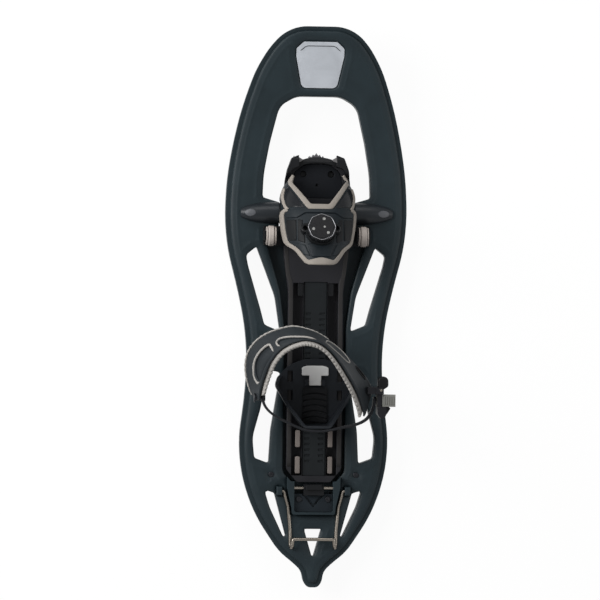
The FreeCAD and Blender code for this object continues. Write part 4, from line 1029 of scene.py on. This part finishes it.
def plate_rims():
    """The rib that runs down each side of the binding plate, painted paler as a painted highlight along the
    plate's edge.
    """
    section = [(-0.5, -0.4), (-0.5, 0.6 * RIM_HEIGHT), (-0.42, RIM_HEIGHT), (0.42, RIM_HEIGHT),
               (0.5, 0.6 * RIM_HEIGHT), (0.5, -0.4)]
    for side, label in SIDES:
        run = smooth_run([(side * x, y, 0) for x, y in PLATE_RIM], 10)[:, :2]
        across = sideways(run) * RIM_WIDTH
        lines = [np.column_stack([run + across * share, np.full(len(run), PLATE_TOP + rise)])
                 for share, rise in section]
        swept("plate_rim_" + label, lines, look("plate_rim"), "binding")


TEETH_SIDE = [(2.4, 189.0), (4.2, 190.6), (6.4, 187.0), (8.2, 189.0), (12.5, 181)]
TEETH = [(-x, y) for x, y in TEETH_SIDE[::-1]] + [(0, 192.4)] + TEETH_SIDE + [(0, 176)]
TEETH_TOP, TEETH_DEPTH = 17.6, 2.2
HORN_FACET = [(26.3, 188.2), (17.2, 182.8), (23.6, 179.2)]


def front_teeth():
    """The teeth along the front claw's forward edge."""
    points, faces, away = filled([TEETH], 2.0, (0.3, 0.7))
    top = np.column_stack([points, TEETH_TOP + crown(away, edge=0.4, edge_width=0.7)])
    closed_sheet("claw_front_teeth", top, TEETH_DEPTH, faces, look("front_claw"), "binding")


def horn_gussets():
    """The sloping gusset inside each of the toe bumper's horns, coloured paler as painted highlight where
    its face catches the light.
    """
    for side, label in SIDES:
        corners = np.array(mirrored(HORN_FACET, side))
        heights = np.nan_to_num(top_of("toe_bumper", corners[:, 0], corners[:, 1]), nan=PLATE_TOP + 3)
        points, faces, away = filled([corners], 1.5, (0.3, 0.7))
        height = plane_over(corners, heights, points) + crown(away, edge=0.3, edge_width=0.7)
        top = np.column_stack([points, height])
        closed_sheet("horn_gusset_" + label, top, height - PLATE_TOP - 0.2, faces, look("horn_gusset"),
                     "binding")


TOE_HOLES = (17.3, 165.5)
# a dark disc in each toe hole paints the hole's shade
HOLE_SHADE_RADIUS, HOLE_SHADE_TOP, HOLE_SHADE_DEPTH = 3.95, 29.0, 3.0


def toe_hole_shade(side, label):
    """A dark disc in one of the toe plate's two holes: painted shade for the hole's dark depth."""
    points, faces, away = filled([ring_of(HOLE_SHADE_RADIUS, 40)], 1.5, (0.3, 0.7))
    place = points + np.array([side * TOE_HOLES[0], TOE_HOLES[1]])
    top = np.column_stack([place, HOLE_SHADE_TOP + crown(away, edge=0.3, edge_width=0.7)])
    closed_sheet("toe_hole_shade_" + label, top, HOLE_SHADE_DEPTH, faces, look("toe_bumper"), "binding")


# ------------ the scene's own pieces
ankle = Band(ANKLE)
deck_skin()
ankle_shell(ankle)
window_floor(ankle)
ankle_liner(ankle)
ankle_hem(ankle)
for bead_name, path, size in BEADS:
    rim(bead_name, ankle, path, size, look("ankle_liner"), "ankle", 0.7 - size * 0.55)
# black bead round the strap's slot: painted shade that makes the slot read dark
rim("ankle_slot_shade_ring", ankle, SLOT_SHADE_RING, 0.9, look("tail_latch"), "ankle", 0.3)
heel_band()
harness_details()
lace_ports()
dial_ring()
badge_line()
cover_highlights()
plate_rims()
front_teeth()
horn_gussets()
for side, label in SIDES:
    toe_hole_shade(side, label)
    pivot_washer(side, label)
softened("toe_plate", "toe_wear_plate", 0.6, 3, "binding")
softened("sole_pads", "sole_pad_blocks", 0.6, 4, "binding")
softened("heel_pad", "heel_grip_pad", 0.45, 2, "heel_unit")


# ------------ camera, floor and light
def background_rays(tree):
    """1 for the rays that should see the white background: camera, glossy and transmission rays."""
    path = tree.nodes.new("ShaderNodeLightPath")
    result = path.outputs["Is Camera Ray"]
    for kind in ("Is Glossy Ray", "Is Transmission Ray"):
        most = tree.nodes.new("ShaderNodeMath")
        most.operation = "MAXIMUM"
        tree.links.new(result, most.inputs[0])
        tree.links.new(path.outputs[kind], most.inputs[1])
        result = most.outputs[0]
    return result


# the share of plain white in the floor for the rays that see the background
FLOOR_WHITE = 0.94


def blended(tree, factor, first, second, output):
    """Sends a mix of two shaders to a material's or a world's output node."""
    blend = tree.nodes.new("ShaderNodeMixShader")
    for source, socket in zip((factor, first, second), blend.inputs):
        tree.links.new(source, socket)
    tree.links.new(blend.outputs[0], output.inputs["Surface"])


def floor():
    """The pale floor, which keeps the object's shadow."""
    bpy.ops.mesh.primitive_plane_add(size=8)
    plane = bpy.context.object
    plane.name = "studio_floor"
    shader = bpy.data.materials.new("studio_floor")
    shader.use_nodes = True
    tree = shader.node_tree
    bsdf = tree.nodes["Principled BSDF"]
    bsdf.inputs["Base Color"].default_value = (0.9, 0.9, 0.9, 1)
    bsdf.inputs["Roughness"].default_value = 0.9
    white = tree.nodes.new("ShaderNodeEmission")
    share = tree.nodes.new("ShaderNodeMath")
    share.operation = "MULTIPLY"
    share.inputs[1].default_value = FLOOR_WHITE
    tree.links.new(background_rays(tree), share.inputs[0])
    blended(tree, share.outputs[0], bsdf.outputs[0], white.outputs[0], tree.nodes["Material Output"])
    plane.data.materials.append(shader)


LAMP_TARGET = Vector((0, 0, 0.03))


def lamp(name, place, size, watts):
    """A soft rectangular lamp that faces the middle of the object."""
    data = bpy.data.lights.new(name, "AREA")
    data.shape = "RECTANGLE"
    data.size, data.size_y = size
    data.energy = watts
    obj = placed(name, data)
    obj.location = place
    obj.rotation_mode = "QUATERNION"
    obj.rotation_quaternion = (Vector(place) - LAMP_TARGET).to_track_quat("Z", "Y")


def world(strength):
    """Soft light from all round, and a white background."""
    made = bpy.data.worlds.new("studio")
    made.use_nodes = True
    tree = made.node_tree
    background = tree.nodes["Background"]
    background.inputs["Color"].default_value = (1, 1, 1, 1)
    background.inputs["Strength"].default_value = strength
    white = tree.nodes.new("ShaderNodeBackground")
    white.inputs["Strength"].default_value = 1.0
    blended(tree, background_rays(tree), background.outputs[0], white.outputs[0], tree.nodes["World Output"])
    bpy.context.scene.world = made


SENSOR = 36.0
VIEW_TILT = math.radians(4.2)
VIEW_ROLL = math.radians(0.69)
VIEW_TARGET = Vector((-0.0191, 0.0099, 0.030))
VIEW_DISTANCE = 4.0
VIEW_WIDTH = 0.742


def camera():
    """A long lens over the object, a little to its left."""
    data = bpy.data.cameras.new("view")
    data.sensor_width = SENSOR
    data.lens = SENSOR * VIEW_DISTANCE / VIEW_WIDTH
    obj = placed("view", data)
    back = Vector((-math.sin(VIEW_TILT), 0, math.cos(VIEW_TILT)))
    up = Vector((-math.sin(VIEW_ROLL), math.cos(VIEW_ROLL), 0))
    right = up.cross(back).normalized()
    above = back.cross(right)
    axes = Matrix((right, above, back)).transposed().to_4x4()
    obj.matrix_world = Matrix.Translation(VIEW_TARGET + back * VIEW_DISTANCE) @ axes
    bpy.context.scene.camera = obj


floor()
world(0.15)
lamp("key_left", (-1.5, 0.5, 1.1), (1.0, 1.4), 46)
lamp("key_right", (1.5, 0.2, 1.1), (1.0, 1.4), 11)
lamp("front", (-0.2, 1.7, 1.2), (1.6, 1.0), 18)
lamp("back", (0.0, -1.7, 1.2), (1.6, 1.0), 4)
camera()
bpy.context.scene.view_settings.view_transform = "Standard"
